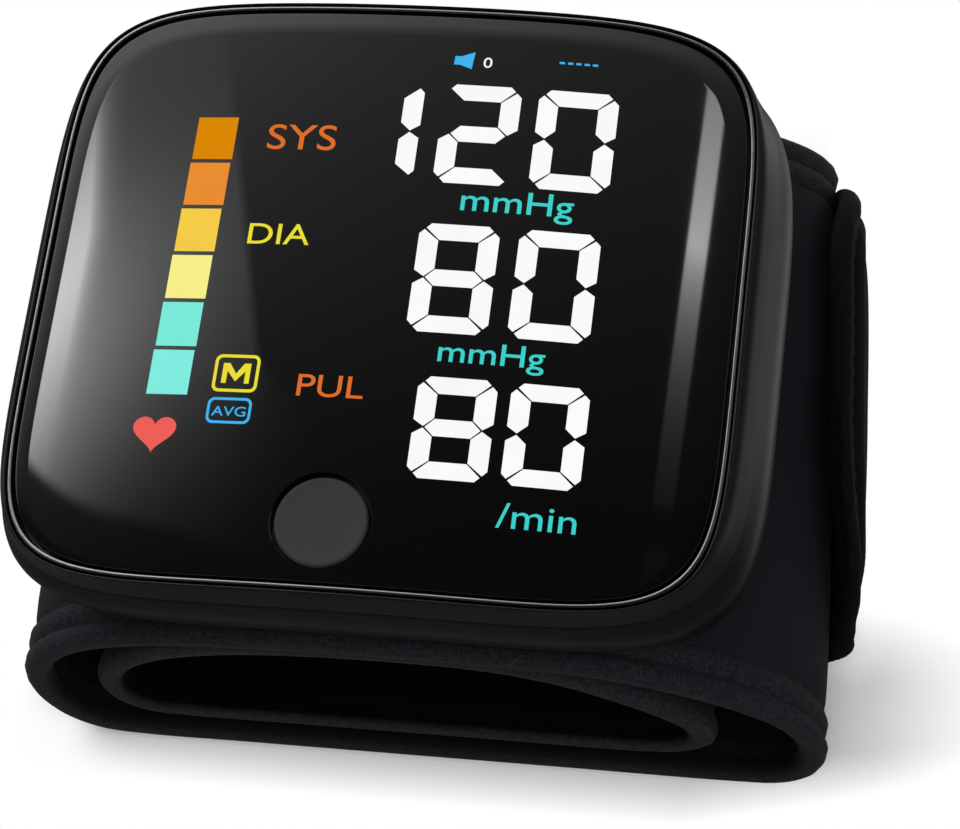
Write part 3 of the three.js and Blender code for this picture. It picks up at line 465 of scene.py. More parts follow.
# Smooth rows through a list of rows, spaced by their own distance
def spline(rows, count, closed=False):
    rows = np.asarray(rows, float)
    if closed:
        rows = np.vstack([rows[-3:], rows, rows[:4]])
    gaps = np.maximum(np.linalg.norm(np.diff(rows, axis=0), axis=1), 1e-9) ** 0.5
    at = np.concatenate([[0.0], np.cumsum(gaps)])
    slope = np.diff(rows, axis=0) / gaps[:, None]
    inner = slope[:-1] * gaps[1:, None] + slope[1:] * gaps[:-1, None]
    inner = inner / (gaps[:-1] + gaps[1:])[:, None]
    tangent = np.vstack([slope[:1], inner, slope[-1:]])
    first = at[3] if closed else 0.0
    last = at[-4] if closed else at[-1]
    want = np.linspace(first, last, count)
    i = np.clip(np.searchsorted(at, want, side="right") - 1, 0, len(gaps) - 1)
    h = gaps[i][:, None]
    t = ((want - at[i]) / gaps[i])[:, None]
    start = (2 * t ** 3 - 3 * t ** 2 + 1) * rows[i] + (t ** 3 - 2 * t ** 2 + t) * h * tangent[i]
    end = (3 * t ** 2 - 2 * t ** 3) * rows[i + 1] + (t ** 3 - t ** 2) * h * tangent[i + 1]
    return start + end


# Evenly spaced points of a line, at most a step apart
def even_line(points, step, closed=False):
    dense = spline(points, 3000, closed)
    length = np.concatenate([[0.0], np.cumsum(np.linalg.norm(np.diff(dense, axis=0), axis=1))])
    count = max(8, int(length[-1] / step))
    want = np.linspace(0.0, length[-1], count + 1)
    return np.stack([np.interp(want, length, dense[:, k]) for k in range(dense.shape[1])], 1)


def smoothstep(x, low, high):
    t = np.clip((np.asarray(x, float) - low) / (high - low), 0.0, 1.0)
    return t * t * (3 - 2 * t)


# Mesh object with smooth faces that stay crisp at sharp edges
def make_piece(name, points, faces, finish, sharp=38, outward=True):
    mesh = bpy.data.meshes.new(name)
    mesh.from_pydata([tuple(p) for p in points], [], faces)
    mesh.materials.append(finish)
    piece = put(name, mesh)
    settle(mesh, sharp, outward)
    return piece


def settle(mesh, sharp=38, outward=True):
    if outward:
        work = bmesh.new()
        work.from_mesh(mesh)
        bmesh.ops.recalc_face_normals(work, faces=work.faces)
        work.to_mesh(mesh)
        work.free()
    mesh.shade_smooth()
    mesh.set_sharp_from_angle(angle=math.radians(sharp))
    mesh.update()


# Faces of a skin of rows, with rows closed round and the ends joined or capped
def skin_faces(rows, columns, join_ends=False, caps=False):
    faces = []
    for r in range(rows if join_ends else rows - 1):
        a = r * columns
        b = ((r + 1) % rows) * columns
        for k in range(columns):
            n = (k + 1) % columns
            faces.append((a + k, a + n, b + n, b + k))
    if caps:
        faces.append(tuple(range(columns)))
        last = (rows - 1) * columns
        faces.append(tuple(range(last + columns - 1, last - 1, -1)))
    return faces


def ring_piece(name, rings, finish, join_ends=False, caps=False, sharp=38):
    points = to_frame(np.vstack(rings))
    faces = skin_faces(len(rings), len(rings[0]), join_ends, caps)
    return make_piece(name, points, faces, finish, sharp)


# Plain mesh of a piece with its modifiers in effect
def baked(piece):
    return bpy.data.meshes.new_from_object(piece.evaluated_get(bpy.context.evaluated_depsgraph_get()))


# Cuts with another mesh, or keeps what both share, and leaves a plain mesh
def carve(piece, cutter, operation="DIFFERENCE", sharp=38):
    modifier = piece.modifiers.new("carve", "BOOLEAN")
    modifier.object = cutter
    modifier.operation = operation
    modifier.solver = "EXACT"
    mesh = baked(piece)
    piece.modifiers.clear()
    piece.data = mesh
    bpy.data.objects.remove(cutter)
    settle(mesh, sharp, False)


def block(x0, x1, y0, y1, z0, z1):
    corners = [(x, y, RIM_HEIGHT + z) for x in (x0, x1) for y in (y0, y1) for z in (z0, z1)]
    faces = [(0, 1, 3, 2), (4, 6, 7, 5), (0, 4, 5, 1), (2, 3, 7, 6), (0, 2, 6, 4), (1, 5, 7, 3)]
    return make_piece("block", to_frame(corners), faces, rear_satin)


def level_ring(x, y, radius, depth, sides):
    turn = np.arange(sides) * 2 * math.pi / sides
    height = np.full(sides, RIM_HEIGHT + depth)
    return np.column_stack([x + radius * np.cos(turn), y + radius * np.sin(turn), height])


def post(x, y, radius, z0, z1, sides=32):
    rings = [level_ring(x, y, radius, z, sides) for z in (z0, z1)]
    return ring_piece("post", rings, rear_satin, caps=True)


def turned(name, x, y, profile, finish, sides=112, sharp=30):
    rings = [level_ring(x, y, max(radius, 0.01), depth, sides) for radius, depth in profile]
    return ring_piece(name, rings, finish, caps=True, sharp=sharp)


def settle_on(piece, body, nodes=()):
    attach(piece, body)
    if nodes:
        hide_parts(*nodes)
    return piece


# Front shell: soft shoulder, crowned rim, recess and ledge
recess_x = FACE_HALF_X + TRIM_HALF_WIDTH + RECESS_GAP
recess_y = FACE_HALF_Y + TRIM_HALF_WIDTH + RECESS_GAP
ledge_top = LENS_TOP - LENS_THICK - SEAL_THICK
ledge_base = ledge_top - LEDGE_THICK
split_x = recess_x + SHOULDER[0][0]
split_y = recess_y + SHOULDER[0][1]
SPLIT_POWER = SHOULDER[0][2]


def front_shell():
    lip = [
        (split_x - 0.35, split_y - 0.35, SPLIT_POWER, -SPLIT_DEPTH),
        (split_x - 0.1, split_y - 0.1, SPLIT_POWER, -SPLIT_DEPTH + 0.12),
    ]
    steps = [(recess_x + x, recess_y + y, power, -SPLIT_DEPTH * part) for x, y, power, part in SHOULDER]
    shoulder = spline([*steps, (recess_x, recess_y, FACE_POWER, -0.12)], 34)
    inside = [
        (recess_x, recess_y, FACE_POWER, ledge_top),
        (recess_x - LEDGE_WIDTH, recess_y - LEDGE_WIDTH, FACE_POWER, ledge_top),
        (recess_x - LEDGE_WIDTH, recess_y - LEDGE_WIDTH, FACE_POWER, ledge_base),
        (recess_x, recess_y - 0.6, FACE_POWER, ledge_base),
        (split_x - WALL, split_y - WALL, SPLIT_POWER, -SPLIT_DEPTH),
    ]
    rings = [ring(*row) for row in [*lip, *shoulder, *inside]]
    piece = ring_piece("front_shell", rings, case_satin, join_ends=True)
    carve(piece, post(BUTTON_X, BUTTON_Y, BUTTON_FLANGE + 0.45, ledge_base - 0.4, ledge_top + 0.1, 64))
    return settle_on(piece, "monitor", ["front_case"])


# Rear shell: bulged walls and a curved floor, with the door and screw openings
def rear_rings():
    rear_top = -SPLIT_DEPTH - SPLIT_GAP
    lip = [
        (split_x - 0.47, split_y - 0.47, SPLIT_POWER, rear_top),
        (split_x - 0.22, split_y - 0.22, SPLIT_POWER, rear_top - 0.12),
    ]
    wall = spline(
        [
            (split_x - 0.12, split_y - 0.12, SPLIT_POWER, rear_top - 0.35),
            (MAX_X - 0.1, MAX_Y - 0.1, WALL_POWER, -9.0),
            (MAX_X, MAX_Y - 0.6, WALL_POWER - 0.1, -13.0),
            (MAX_X - 0.5, MAX_Y - 1.7, FLOOR_POWER + 0.1, -17.0),
            (MAX_X - 1.8, MAX_Y - 3.4, FLOOR_POWER, -HOUSING_DEPTH + 2.4),
            (MAX_X - 4.4, MAX_Y - 6.0, FLOOR_POWER, -HOUSING_DEPTH + 0.8),
            (MAX_X - 8.4, MAX_Y - 9.7, FLOOR_POWER, -HOUSING_DEPTH),
        ],
        36,
    )
    floor = [((MAX_X - 8.4) * 0.5, (MAX_Y - 9.7) * 0.5, 4.0, -HOUSING_DEPTH)]
    floor_top = -HOUSING_DEPTH + WALL
    inside = [
        (MAX_X * 0.42, MAX_Y * 0.38, 4.0, floor_top),
        (MAX_X - 9.4, MAX_Y - 10.7, FLOOR_POWER, floor_top),
        (MAX_X - 3.6, MAX_Y - 5.2, FLOOR_POWER, floor_top + 1.6),
        (MAX_X - 2.4, MAX_Y - 3.6, FLOOR_POWER + 0.1, -17.0),
        (MAX_X - WALL, MAX_Y - 2.4, WALL_POWER - 0.1, -13.0),
        (MAX_X - 1.9, MAX_Y - 1.9, WALL_POWER, -9.0),
        (split_x - 0.12 - WALL, split_y - 0.12 - WALL, SPLIT_POWER, rear_top),
    ]
    outer = [ring(*row) for row in [*lip, *wall, *floor]]
    inner = [ring(*row) for row in inside]
    return outer[::-1] + inner[::-1]


def rear_shell():
    piece = ring_piece("rear_shell", rear_rings(), rear_satin, caps=True)
    carve(piece, block(-MAX_X - 2, -MAX_X + 7, -DOOR_HALF_Y, DOOR_HALF_Y, DOOR_BOTTOM, DOOR_TOP))
    seat = -HOUSING_DEPTH + WALL - 0.3
    for side_x in (-1, 1):
        for side_y in (-1, 1):
            carve(piece, post(side_x * SCREW_X, side_y * SCREW_Y, 1.1, -30, -15))
            carve(piece, post(side_x * SCREW_X, side_y * SCREW_Y, 2.2, -30, seat))
    carve(piece, post(0, PORT_Y, 2.0, -30, -15))
    return settle_on(piece, "monitor", ["rear_case"])


# Tree that sets one shape in a row along every drawn line and leaves real faces
ROW_SIZES = ("Pitch", "Length", "Thickness", "Height")
ROW_NODES = {
    "source": "NodeGroupInput",
    "curve": "GeometryNodeMeshToCurve",
    "spaced": "GeometryNodeResampleCurve",
    "shape": "GeometryNodeMeshUVSphere",
    "size": "ShaderNodeCombineXYZ",
    "sized": "GeometryNodeTransform",
    "tangent": "GeometryNodeInputTangent",
    "normal": "GeometryNodeInputNamedAttribute",
    "lean": "FunctionNodeAlignRotationToVector",
    "stand": "FunctionNodeAlignRotationToVector",
    "spread": "GeometryNodeInstanceOnPoints",
    "real": "GeometryNodeRealizeInstances",
    "smooth": "GeometryNodeSetShadeSmooth",
    "finish": "GeometryNodeSetMaterial",
    "result": "NodeGroupOutput",
}
ROW_WIRES = (
    "source Lines curve Mesh", "curve Curve spaced Curve", "source Pitch spaced Length",
    "source Length size X", "source Thickness size Y", "source Height size Z",
    "shape Mesh sized Geometry", "size Vector sized Scale", "tangent Tangent lean Vector",
    "lean Rotation stand Rotation", "normal Attribute stand Vector", "spaced Curve spread Points",
    "sized Geometry spread Instance", "stand Rotation spread Rotation", "spread Instances real Geometry",
    "real Geometry smooth Geometry", "smooth Geometry finish Geometry", "source Finish finish Material",
    "finish Geometry result Row",
)


def row_tree(name, sides, rounds):
    tree = bpy.data.node_groups.new(name, "GeometryNodeTree")
    kinds = {"Lines": "Geometry", **dict.fromkeys(ROW_SIZES, "Float"), "Finish": "Material"}
    sockets = {}
    for label, kind in kinds.items():
        socket = tree.interface.new_socket(label, in_out="INPUT", socket_type="NodeSocket" + kind)
        sockets[label] = socket.identifier
    tree.interface.new_socket("Row", in_out="OUTPUT", socket_type="NodeSocketGeometry")
    nodes = {label: tree.nodes.new(kind) for label, kind in ROW_NODES.items()}
    nodes["spaced"].mode = "LENGTH"
    for label, amount in (("Segments", sides), ("Rings", rounds), ("Radius", 0.5)):
        nodes["shape"].inputs[label].default_value = amount
    nodes["normal"].data_type = "FLOAT_VECTOR"
    nodes["normal"].inputs["Name"].default_value = "up"
    nodes["lean"].axis = "X"
    nodes["stand"].axis = "Z"
    nodes["stand"].pivot_axis = "X"
    for wire in ROW_WIRES:
        start, output, end, entry = wire.split()
        tree.links.new(nodes[start].outputs[output], nodes[end].inputs[entry])
    return tree, sockets


# Row of small shapes on drawn lines, each line as points and the way that is up there
def row_piece(name, tree_sockets, lines, ups, finish, *sizes):
    tree, sockets = tree_sockets
    points = np.vstack(lines)
    edges = []
    start = 0
    for line in lines:
        edges += [(start + k, start + k + 1) for k in range(len(line) - 1)]
        start += len(line)
    mesh = bpy.data.meshes.new(name)
    mesh.from_pydata([tuple(p) for p in to_frame(points)], edges, [])
    up = mesh.attributes.new("up", "FLOAT_VECTOR", "POINT")
    up.data.foreach_set("vector", np.vstack(ups).astype(np.float32).ravel())
    piece = put(name, mesh)
    modifier = piece.modifiers.new("row", "NODES")
    modifier.node_group = tree
    for label, size in zip(ROW_SIZES, sizes):
        modifier[sockets[label]] = size * MM
    modifier[sockets["Finish"]] = finish
    made = baked(piece)
    piece.modifiers.clear()
    piece.data = made
    return piece


stitch_rows = row_tree("stitch_rows", 8, 5)
rib_rows = row_tree("rib_rows", 12, 7)
hook_rows = row_tree("hook_rows", 6, 4)


# Battery door: the same wall within its opening, with a row of grip ribs
RIB_COUNT = 9
RIB_STEP = 2.4
RIB_SIZES = (0.9, 1.0, 5.5)
RIB_MIDDLE = -12.2
RIB_OUT = 0.1


def battery_door():
    piece = ring_piece("door_panel", rear_rings(), rear_satin, caps=True)
    half = DOOR_HALF_Y - DOOR_GAP
    cutter = block(-MAX_X - 2, -MAX_X + 7, -half, half, DOOR_BOTTOM + DOOR_GAP, DOOR_TOP - DOOR_GAP)
    carve(piece, cutter, "INTERSECT")
    settle_on(piece, "battery_door", ["battery_door"])
    reach = RIB_STEP * (RIB_COUNT - 1) / 2
    height = RIM_HEIGHT + RIB_MIDDLE - arch(MAX_X)
    line = np.array([(-MAX_X + RIB_OUT, y, height) for y in (-reach, reach)])
    line = line[0] + (line[1] - line[0]) * np.linspace(0, 1, RIB_COUNT)[:, None]
    ups = np.tile((0.0, 0.0, 1.0), (len(line), 1))
    ribs = row_piece("door_ribs", rib_rows, [line], [ups], rear_satin, RIB_STEP, *RIB_SIZES)
    settle_on(ribs, "battery_door")


# Bright trim bead, the window with its button hole, and the button
def trim_bead():
    half = [(1.0, -TRIM_DEPTH), (1.0, -0.7), (0.74, -0.42), (0.7, -0.12), (0.58, -0.02), (0.25, 0.03)]
    rings = []
    for share, depth in half + [(-share, depth) for share, depth in reversed(half)]:
        side = share * TRIM_HALF_WIDTH
        rings.append(ring(FACE_HALF_X + side, FACE_HALF_Y + side, FACE_POWER, depth))
    piece = ring_piece("trim_bead", rings, trim_bright, join_ends=True, sharp=50)
    settle_on(piece, "monitor", ["trim_ring"])


def window():
    lens_x = FACE_HALF_X - TRIM_HALF_WIDTH - LENS_GAP
    lens_y = FACE_HALF_Y - TRIM_HALF_WIDTH - LENS_GAP
    flat_x = lens_x - LENS_BEVEL
    flat_y = lens_y - LENS_BEVEL
    edge = outline(flat_x, flat_y, FACE_POWER)
    hub = np.array([BUTTON_X, BUTTON_Y])
    ray = edge - hub
    hole = hub + BUTTON_HOLE * ray / np.linalg.norm(ray, axis=1)[:, None]

    rings = [raised(hub + (hole - hub) * 1.01, LENS_TOP - LENS_THICK), raised(hole, LENS_TOP - 0.12)]
    for share in np.linspace(0.0, 1.0, 30) ** 1.3:
        lip = hole + (hole - hub) * 0.02
        rings.append(raised(lip + (edge - lip) * share, LENS_TOP))
    for grow, depth in ((0.14, -0.03), (0.22, -0.1), (LENS_BEVEL, -0.2)):
        rings.append(ring(flat_x + grow, flat_y + grow, FACE_POWER, LENS_TOP + depth))
    rings.append(ring(lens_x, lens_y, FACE_POWER, LENS_TOP - LENS_THICK))
    piece = ring_piece("window", rings, window_black, join_ends=True, sharp=40)
    settle_on(piece, "monitor", ["display_lens"])


def button_cap():
    flange_top = LENS_TOP - LENS_THICK - FLANGE_GAP
    flange_base = flange_top - FLANGE_THICK
    round_x = BUTTON_RADIUS - BUTTON_ROUND
    round_z = BUTTON_TOP - BUTTON_ROUND
    profile = [
        (0.0, STEM_BASE), (STEM_RADIUS, STEM_BASE), (STEM_RADIUS, flange_base),
        (BUTTON_FLANGE, flange_base), (BUTTON_FLANGE, flange_top), (BUTTON_RADIUS, flange_top),
        (BUTTON_RADIUS, round_z),
    ]
    for step in np.linspace(0, math.pi / 2, 7):
        profile.append((round_x + BUTTON_ROUND * math.cos(step), round_z + BUTTON_ROUND * math.sin(step)))
    for radius in np.linspace(BUTTON_RADIUS - 1.5 * BUTTON_ROUND, 0.0, 10):
        profile.append((radius, BUTTON_TOP - BUTTON_DISH * (1 - (radius / BUTTON_RADIUS) ** 2)))
    piece = turned("button_cap", BUTTON_X, BUTTON_Y, profile, button_matt)
    settle_on(piece, "start_button", ["start_button"])


# Middle lines of the cuff in the X Z plane, heights as parts of the rise between two layers
strap_top = RIM_HEIGHT - HOUSING_DEPTH - SEAT - STRAP_HALF
liner_top = strap_top - STRAP_HALF - SEAT - LINER_HALF
liner_base = STRAP_FLAT + STRAP_HALF + SEAT + LINER_HALF


def rise(part):
    return STRAP_FLAT + part * (strap_top - STRAP_FLAT)


def liner_rise(part):
    return liner_base + part * (liner_top - liner_base)


STRAP_POINTS = [
    (39, STRAP_FLAT), (20, STRAP_FLAT), (0, STRAP_FLAT), (-20, STRAP_FLAT), (-33, STRAP_FLAT),
    (-38.3, rise(0.03)), (-41.8, rise(0.135)), (-43.6, rise(0.297)), (-43.7, rise(0.462)),
    (-42.2, rise(0.628)), (-38.7, rise(0.774)), (-33, rise(0.883)), (-25, strap_top - arch(25)),
    (-12, strap_top - arch(12)), (0, strap_top), (12, strap_top - arch(12)), (25, strap_top - arch(25)),
    (33, rise(0.868)), (39.8, rise(0.733)), (44.8, rise(0.568)), (47.1, rise(0.398)),
    (47.35, rise(0.237)), (46, rise(0.098)), (43, rise(0.017)),
]
LINER_POINTS = [
    (0, liner_top), (-12, liner_rise(0.974)), (-21, liner_rise(0.901)), (-28.5, liner_rise(0.76)),
    (-33.4, liner_rise(0.557)), (-35.4, liner_rise(0.344)), (-34.6, liner_rise(0.146)),
    (-31.6, liner_rise(0.026)), (-27, liner_base), (-10, liner_base), (10, liner_base), (28, liner_base),
    (32.8, liner_rise(0.036)), (35.4, liner_rise(0.156)), (35, liner_rise(0.323)),
    (31.6, liner_rise(0.521)), (26.4, liner_rise(0.708)), (19.6, liner_rise(0.875)), (12, liner_rise(0.969)),
]
TAIL_ROOT = rise(0.175)
TAIL_BELLY = rise(0.38)
TAIL_POINTS = [
    (48.7, rise(0.1)), (50.2, TAIL_ROOT), (51.2, rise(0.265)), (52.2, TAIL_BELLY), (51.9, rise(0.51)),
    (49.4, rise(0.67)),
]
STRAP_STEP = 0.9

# Edge of the cloth: distance in from the edge and half thickness there, as two rolls with grooves
DOUBLE_ROLL = [
    (0.0, 0.0), (0.1, 0.6), (0.35, 1.1), (0.8, 1.5), (1.45, 1.72), (2.1, 1.58), (2.55, 1.25),
    (2.85, 0.88), (3.15, 1.2), (3.6, 1.52), (4.3, 1.7), (5.0, 1.55), (5.5, 1.24), (5.8, 0.95),
    (6.2, 1.18), (7.2, 1.36), (9.5, 1.5),
]
SINGLE_ROLL = [
    (0.0, 0.0), (0.12, 0.7), (0.45, 1.2), (1.0, 1.52), (1.7, 1.6), (2.6, 1.5), (3.4, 1.22), (3.9, 1.05),
    (4.6, 1.18), (6.5, 1.32), (9.5, 1.42),
]
GROOVES = (2.85, 5.8)
PANEL_SHARES = np.array([0.12, 0.25, 0.4, 0.55, 0.7, 0.85, 1.0])
HEM_EDGE = (5.6, 6.1)
# Distance in from the edge over which the painted shade on the inner face comes in
INNER_SHADE_EDGE = (0.1, 1.0)


def cuff_half_width(z):
    return CUFF_HALF_WIDTH - CUFF_TAPER * z


def fold_skew(x, y):
    return -FOLD_SKEW * smoothstep(x, 26, 46) * (y - CUFF_CENTRE_Y) / CUFF_HALF_WIDTH


def line_normals(line, closed=False):
    if closed:
        along = np.roll(line, -1, 0) - np.roll(line, 1, 0)
    else:
        along = np.gradient(line, axis=0)
    along = along / np.linalg.norm(along, axis=1)[:, None]
    return np.stack([-along[:, 1], along[:, 0]], 1)


# Stitches along the grooves of the edge
STITCH_PITCH = 2.6
STITCH_LENGTH = 1.9
STITCH_THICK = 0.34
STITCH_SIZES = (STITCH_PITCH, STITCH_LENGTH, STITCH_THICK, STITCH_THICK)
STITCH_LIFT = STITCH_THICK * 0.25
THREAD_FLOOR = 1.0
SHORTEST_RUN = 6


# Half thickness at a distance from the edge, with a pinch at each stitch and soft waves on the panel
def cloth_half(roll, half, inward, along, across):
    distance, thick = zip(*roll)
    base = np.interp(inward, distance, thick)
    crown = half - (half - thick[-1]) * np.exp(-np.maximum(inward - distance[-1], 0.0) / 6.0)
    base = np.where(inward > distance[-1], crown, base)
    edge = smoothstep(inward, 0.0, 1.0) * (1 - smoothstep(inward, 5.5, 7.0))
    pinch = 1 - 0.035 * np.cos(along * 2 * math.pi / STITCH_PITCH) * edge
    ripple = 0.07 * np.sin(along * 0.55 + across * 0.21) * np.sin(along * 0.17 - across * 0.33 + 1.1)
    return base * pinch + ripple * smoothstep(inward, 7.0, 12.0)


# Distance travelled at each point of a line
def travelled(line):
    steps = np.linalg.norm(np.diff(line, axis=0), axis=1)
    return np.concatenate([[0.0], np.cumsum(steps)])


# Padded cloth round a closed line, and the stitch lines on its outer face with the way that is up there
def cloth_loop(name, line_points, inset, roll, half, finish, ground=False, rows=GROOVES, shade_side=-1):
    line = even_line(line_points, STRAP_STEP, closed=True)[:-1]
    normals = line_normals(line, closed=True)
    travel = travelled(line)
    inward = np.array([distance for distance, _ in roll])
    points, lay, hem, inside = [], [], [], []
    stitch_lines = {(side, depth): [] for side in (-1, 1) for depth in rows}
    stitch_ups = {key: [] for key in stitch_lines}

    def at(i, y, offset):
        x, z = line[i] + normals[i] * offset
        if ground:
            z = max(z, 0.0)
        return (x + float(fold_skew(x, y)), y, z)

    for i in range(len(line)):
        width = cuff_half_width(line[i][1]) - inset
        from_front = np.concatenate([inward, inward[-1] + (width - inward[-1]) * PANEL_SHARES])
        from_back = from_front[:-1][::-1]
        ys = CUFF_CENTRE_Y + np.concatenate([from_front - width, width - from_back])
        deep = np.concatenate([from_front, from_back])
        thick = cloth_half(roll, half, deep, travel[i], ys)
        top = [at(i, y, t) for y, t in zip(ys, thick)]
        base = [at(i, y, -t) for y, t in zip(ys, thick)][1:-1][::-1]
        points += top + base
        order = np.concatenate([np.arange(len(ys)), np.arange(len(ys))[1:-1][::-1]])
        lay += [(travel[i], ys[k]) for k in order]
        hem += [1 - float(smoothstep(deep[k], *HEM_EDGE)) for k in order]
        # The face on the shade side, toward the inside of the loop, is marked for painted shade
        in_shade = [shade_side > 0] * len(ys) + [shade_side < 0] * (len(ys) - 2)
        inside += [side * float(smoothstep(deep[k], *INNER_SHADE_EDGE)) for side, k in zip(in_shade, order)]
        for (side, depth), run in stitch_lines.items():
            y = CUFF_CENTRE_Y + side * (width - depth)
            t = cloth_half(roll, half, np.array([depth]), travel[i], np.array([y]))[0]
            run.append(at(i, y, t + STITCH_LIFT))
            stitch_ups[(side, depth)].append((normals[i][0], 0.0, normals[i][1]))
    faces = skin_faces(len(line), len(points) // len(line), join_ends=True)
    piece = make_piece(name, to_frame(points), faces, finish, sharp=60)
    drape_data(piece, lay, hem=hem, inside=inside)
    return piece, stitch_lines, stitch_ups


def drape_data(piece, lay, **shares):
    mesh = piece.data
    layer = mesh.uv_layers.new(name="lay")
    index = np.zeros(len(mesh.loops), np.int32)
    mesh.loops.foreach_get("vertex_index", index)
    layer.data.foreach_set("uv", np.asarray(lay, np.float32)[index].ravel())
    for name, values in shares.items():
        share = mesh.attributes.new(name, "FLOAT", "POINT")
        share.data.foreach_set("value", np.asarray(values, np.float32))


# Thread rows along stitch lines, left out where the line is close to the floor
def thread_rows(name, lines, ups, body):
    runs, leans = [], []
    for key, run in lines.items():
        run = np.array(run)
        lean = np.array(ups[key])
        clear = run[:, 2] > THREAD_FLOOR
        start = None
        for i in range(len(run) + 1):
            on = i < len(run) and clear[i]
            if on and start is None:
                start = i
            if not on and start is not None:
                if i - start > SHORTEST_RUN:
                    runs.append(run[start:i])
                    leans.append(lean[start:i])
                start = None
    piece = row_piece(name, stitch_rows, runs, leans, thread_grey, *STITCH_SIZES)
    return settle_on(piece, body)


# Strap as one closed band round the loop, and the soft band inside it
def outer_strap():
    shape = (STRAP_POINTS, 0.0, DOUBLE_ROLL, STRAP_HALF)
    piece, lines, ups = cloth_loop("outer_strap", *shape, strap_cloth, ground=True)
    settle_on(piece, "monitor", ["cuff_long_side", "cuff_short_side"])
    thread_rows("strap_thread", lines, ups, "monitor")


def inner_band():
    shape = (LINER_POINTS, LINER_INSET, SINGLE_ROLL, LINER_HALF)
    piece, _, _ = cloth_loop("inner_band", *shape, liner_cloth, rows=(), shade_side=1)
    settle_on(piece, "monitor", ["cuff_inner_loop"])


# Loose end of the strap: rolls run round its rounded end, and it bends from the fold it is sewn to
TAIL_ROWS = 64
TAIL_COLUMNS = 96
TAIL_STEP = 0.05


# Half outline of the loose end: distance along it and from its middle line
def tail_rim(side, length, start=-12.0):
    width = TAIL_WIDTHS[side]
    corner = TAIL_CORNERS[side]
    turn = np.linspace(0, math.pi / 2, 60)
    bend = length - TAIL_CORNER_RISE
    edge = [(along, width) for along in np.linspace(start, bend, 60)[:-1]]
    round_u = bend + TAIL_CORNER_RISE * np.sin(turn)
    round_y = width - corner + corner * np.cos(turn)
    end = [(length, across) for across in np.linspace(width - corner, 0, 60)[1:]]
    return np.array(edge + list(zip(round_u, round_y)) + end)


# Sideways lean of the fold and the bow of the loose end toward the housing at its sides
def tail_lean(x, y, z):
    across = 2 * (y - TAIL_CENTRE_Y) / sum(TAIL_WIDTHS.values())
    bow = TAIL_BOW * across ** 4 * smoothstep(z, TAIL_ROOT, TAIL_BELLY)
    return x + float(fold_skew(x, y)) - float(bow)


# Place on the loose end from the distance along it, across it and out from its middle
def tail_place(line, along, y, offset):
    centre = [np.interp(along, line["travel"], line["points"][:, k]) for k in range(2)]
    normal = [np.interp(along, line["travel"], line["normals"][:, k]) for k in range(2)]
    x, z = [centre[k] + normal[k] * offset for k in range(2)]
    at_y = TAIL_CENTRE_Y + y
    return (tail_lean(x, at_y, z), at_y, z), normal


def tail_line():
    points = even_line(TAIL_POINTS, TAIL_STEP)
    travel = travelled(points)
    return {"points": points, "travel": travel, "normals": line_normals(points), "length": travel[-1]}


def strap_tail():
    line = tail_line()
    length = line["length"]
    share = np.linspace(0, 1, TAIL_ROWS)
    along = length * (1 - (1 - share) ** 1.6)
    spread = np.linspace(-1, 1, TAIL_COLUMNS)
    spread = np.sign(spread) * (1 - (1 - np.abs(spread)) ** 1.7)
    rims = {side: tail_rim(side, length) for side in (-1, 1)}
    points, lay, hem = [], [], []
    for face in (1, -1):
        for i, u in enumerate(along):
            left = min(length - u, TAIL_CORNER_RISE)
            cut = 1 - math.sqrt(max(1 - (1 - left / TAIL_CORNER_RISE) ** 2, 0.0))
            for v in spread:
                side = -1 if v < 0 else 1
                y = v * (TAIL_WIDTHS[side] - TAIL_CORNERS[side] * cut)
                inward = float(np.min(np.hypot(rims[side][:, 0] - u, rims[side][:, 1] - abs(y))))
                rolled = float(cloth_half(DOUBLE_ROLL, STRAP_HALF, np.array([inward]), u, np.array([y]))[0])
                rolled *= TAIL_HALF / STRAP_HALF * (0.55 + 0.45 * float(smoothstep(u, 0.5, 4.0)))
                edge = i == TAIL_ROWS - 1 or abs(v) == 1
                place, _ = tail_place(line, u, y, 0.0 if edge else face * rolled)
                points.append(place)
                lay.append((u, y))
                hem.append(1 - float(smoothstep(inward, *HEM_EDGE)))
    faces = []
    half = TAIL_ROWS * TAIL_COLUMNS
    for i in range(TAIL_ROWS - 1):
        for k in range(TAIL_COLUMNS - 1):
            a = i * TAIL_COLUMNS + k
            quad = (a, a + 1, a + 1 + TAIL_COLUMNS, a + TAIL_COLUMNS)
            faces.append(quad)
            faces.append(tuple(half + q for q in reversed(quad)))
    for k in range(TAIL_COLUMNS - 1):
        faces.append((k + 1, k, half + k, half + k + 1))
    piece = make_piece("strap_tail", to_frame(points), faces, tail_cloth, sharp=60, outward=False)
    drape_data(piece, lay, hem=hem)
    work = bmesh.new()
    work.from_mesh(piece.data)
    bmesh.ops.remove_doubles(work, verts=work.verts, dist=1e-6)
    bmesh.ops.recalc_face_normals(work, faces=work.faces)
    work.to_mesh(piece.data)
    work.free()
    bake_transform(piece)
    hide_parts("cuff_tail")
    tail_thread(line)


# Stitch rows on the outer face of the loose end, along both grooves
def tail_thread(line):
    runs, ups = [], []
    for depth in GROOVES:
        halves = []
        for side in (-1, 1):
            rim = tail_rim(side, line["length"], 3.0)
            step = np.gradient(rim, axis=0)
            step = step / np.linalg.norm(step, axis=1)[:, None]
            inner = rim + depth * np.stack([step[:, 1], -step[:, 0]], 1)
            halves.append([(u, side * y) for u, y in inner if y > 0])
        run, lean = [], []
        thick = np.interp(depth, *zip(*DOUBLE_ROLL)) * TAIL_HALF / STRAP_HALF + STITCH_LIFT
        for u, y in halves[0] + halves[1][::-1]:
            place, normal = tail_place(line, u, y, -thick)
            run.append(place)
            lean.append((-normal[0], 0.0, -normal[1]))
        runs.append(np.array(run))
        ups.append(np.array(lean))
    piece = row_piece("tail_thread", stitch_rows, runs, ups, thread_grey, *STITCH_SIZES)
    settle_on(piece, "cuff_tail")


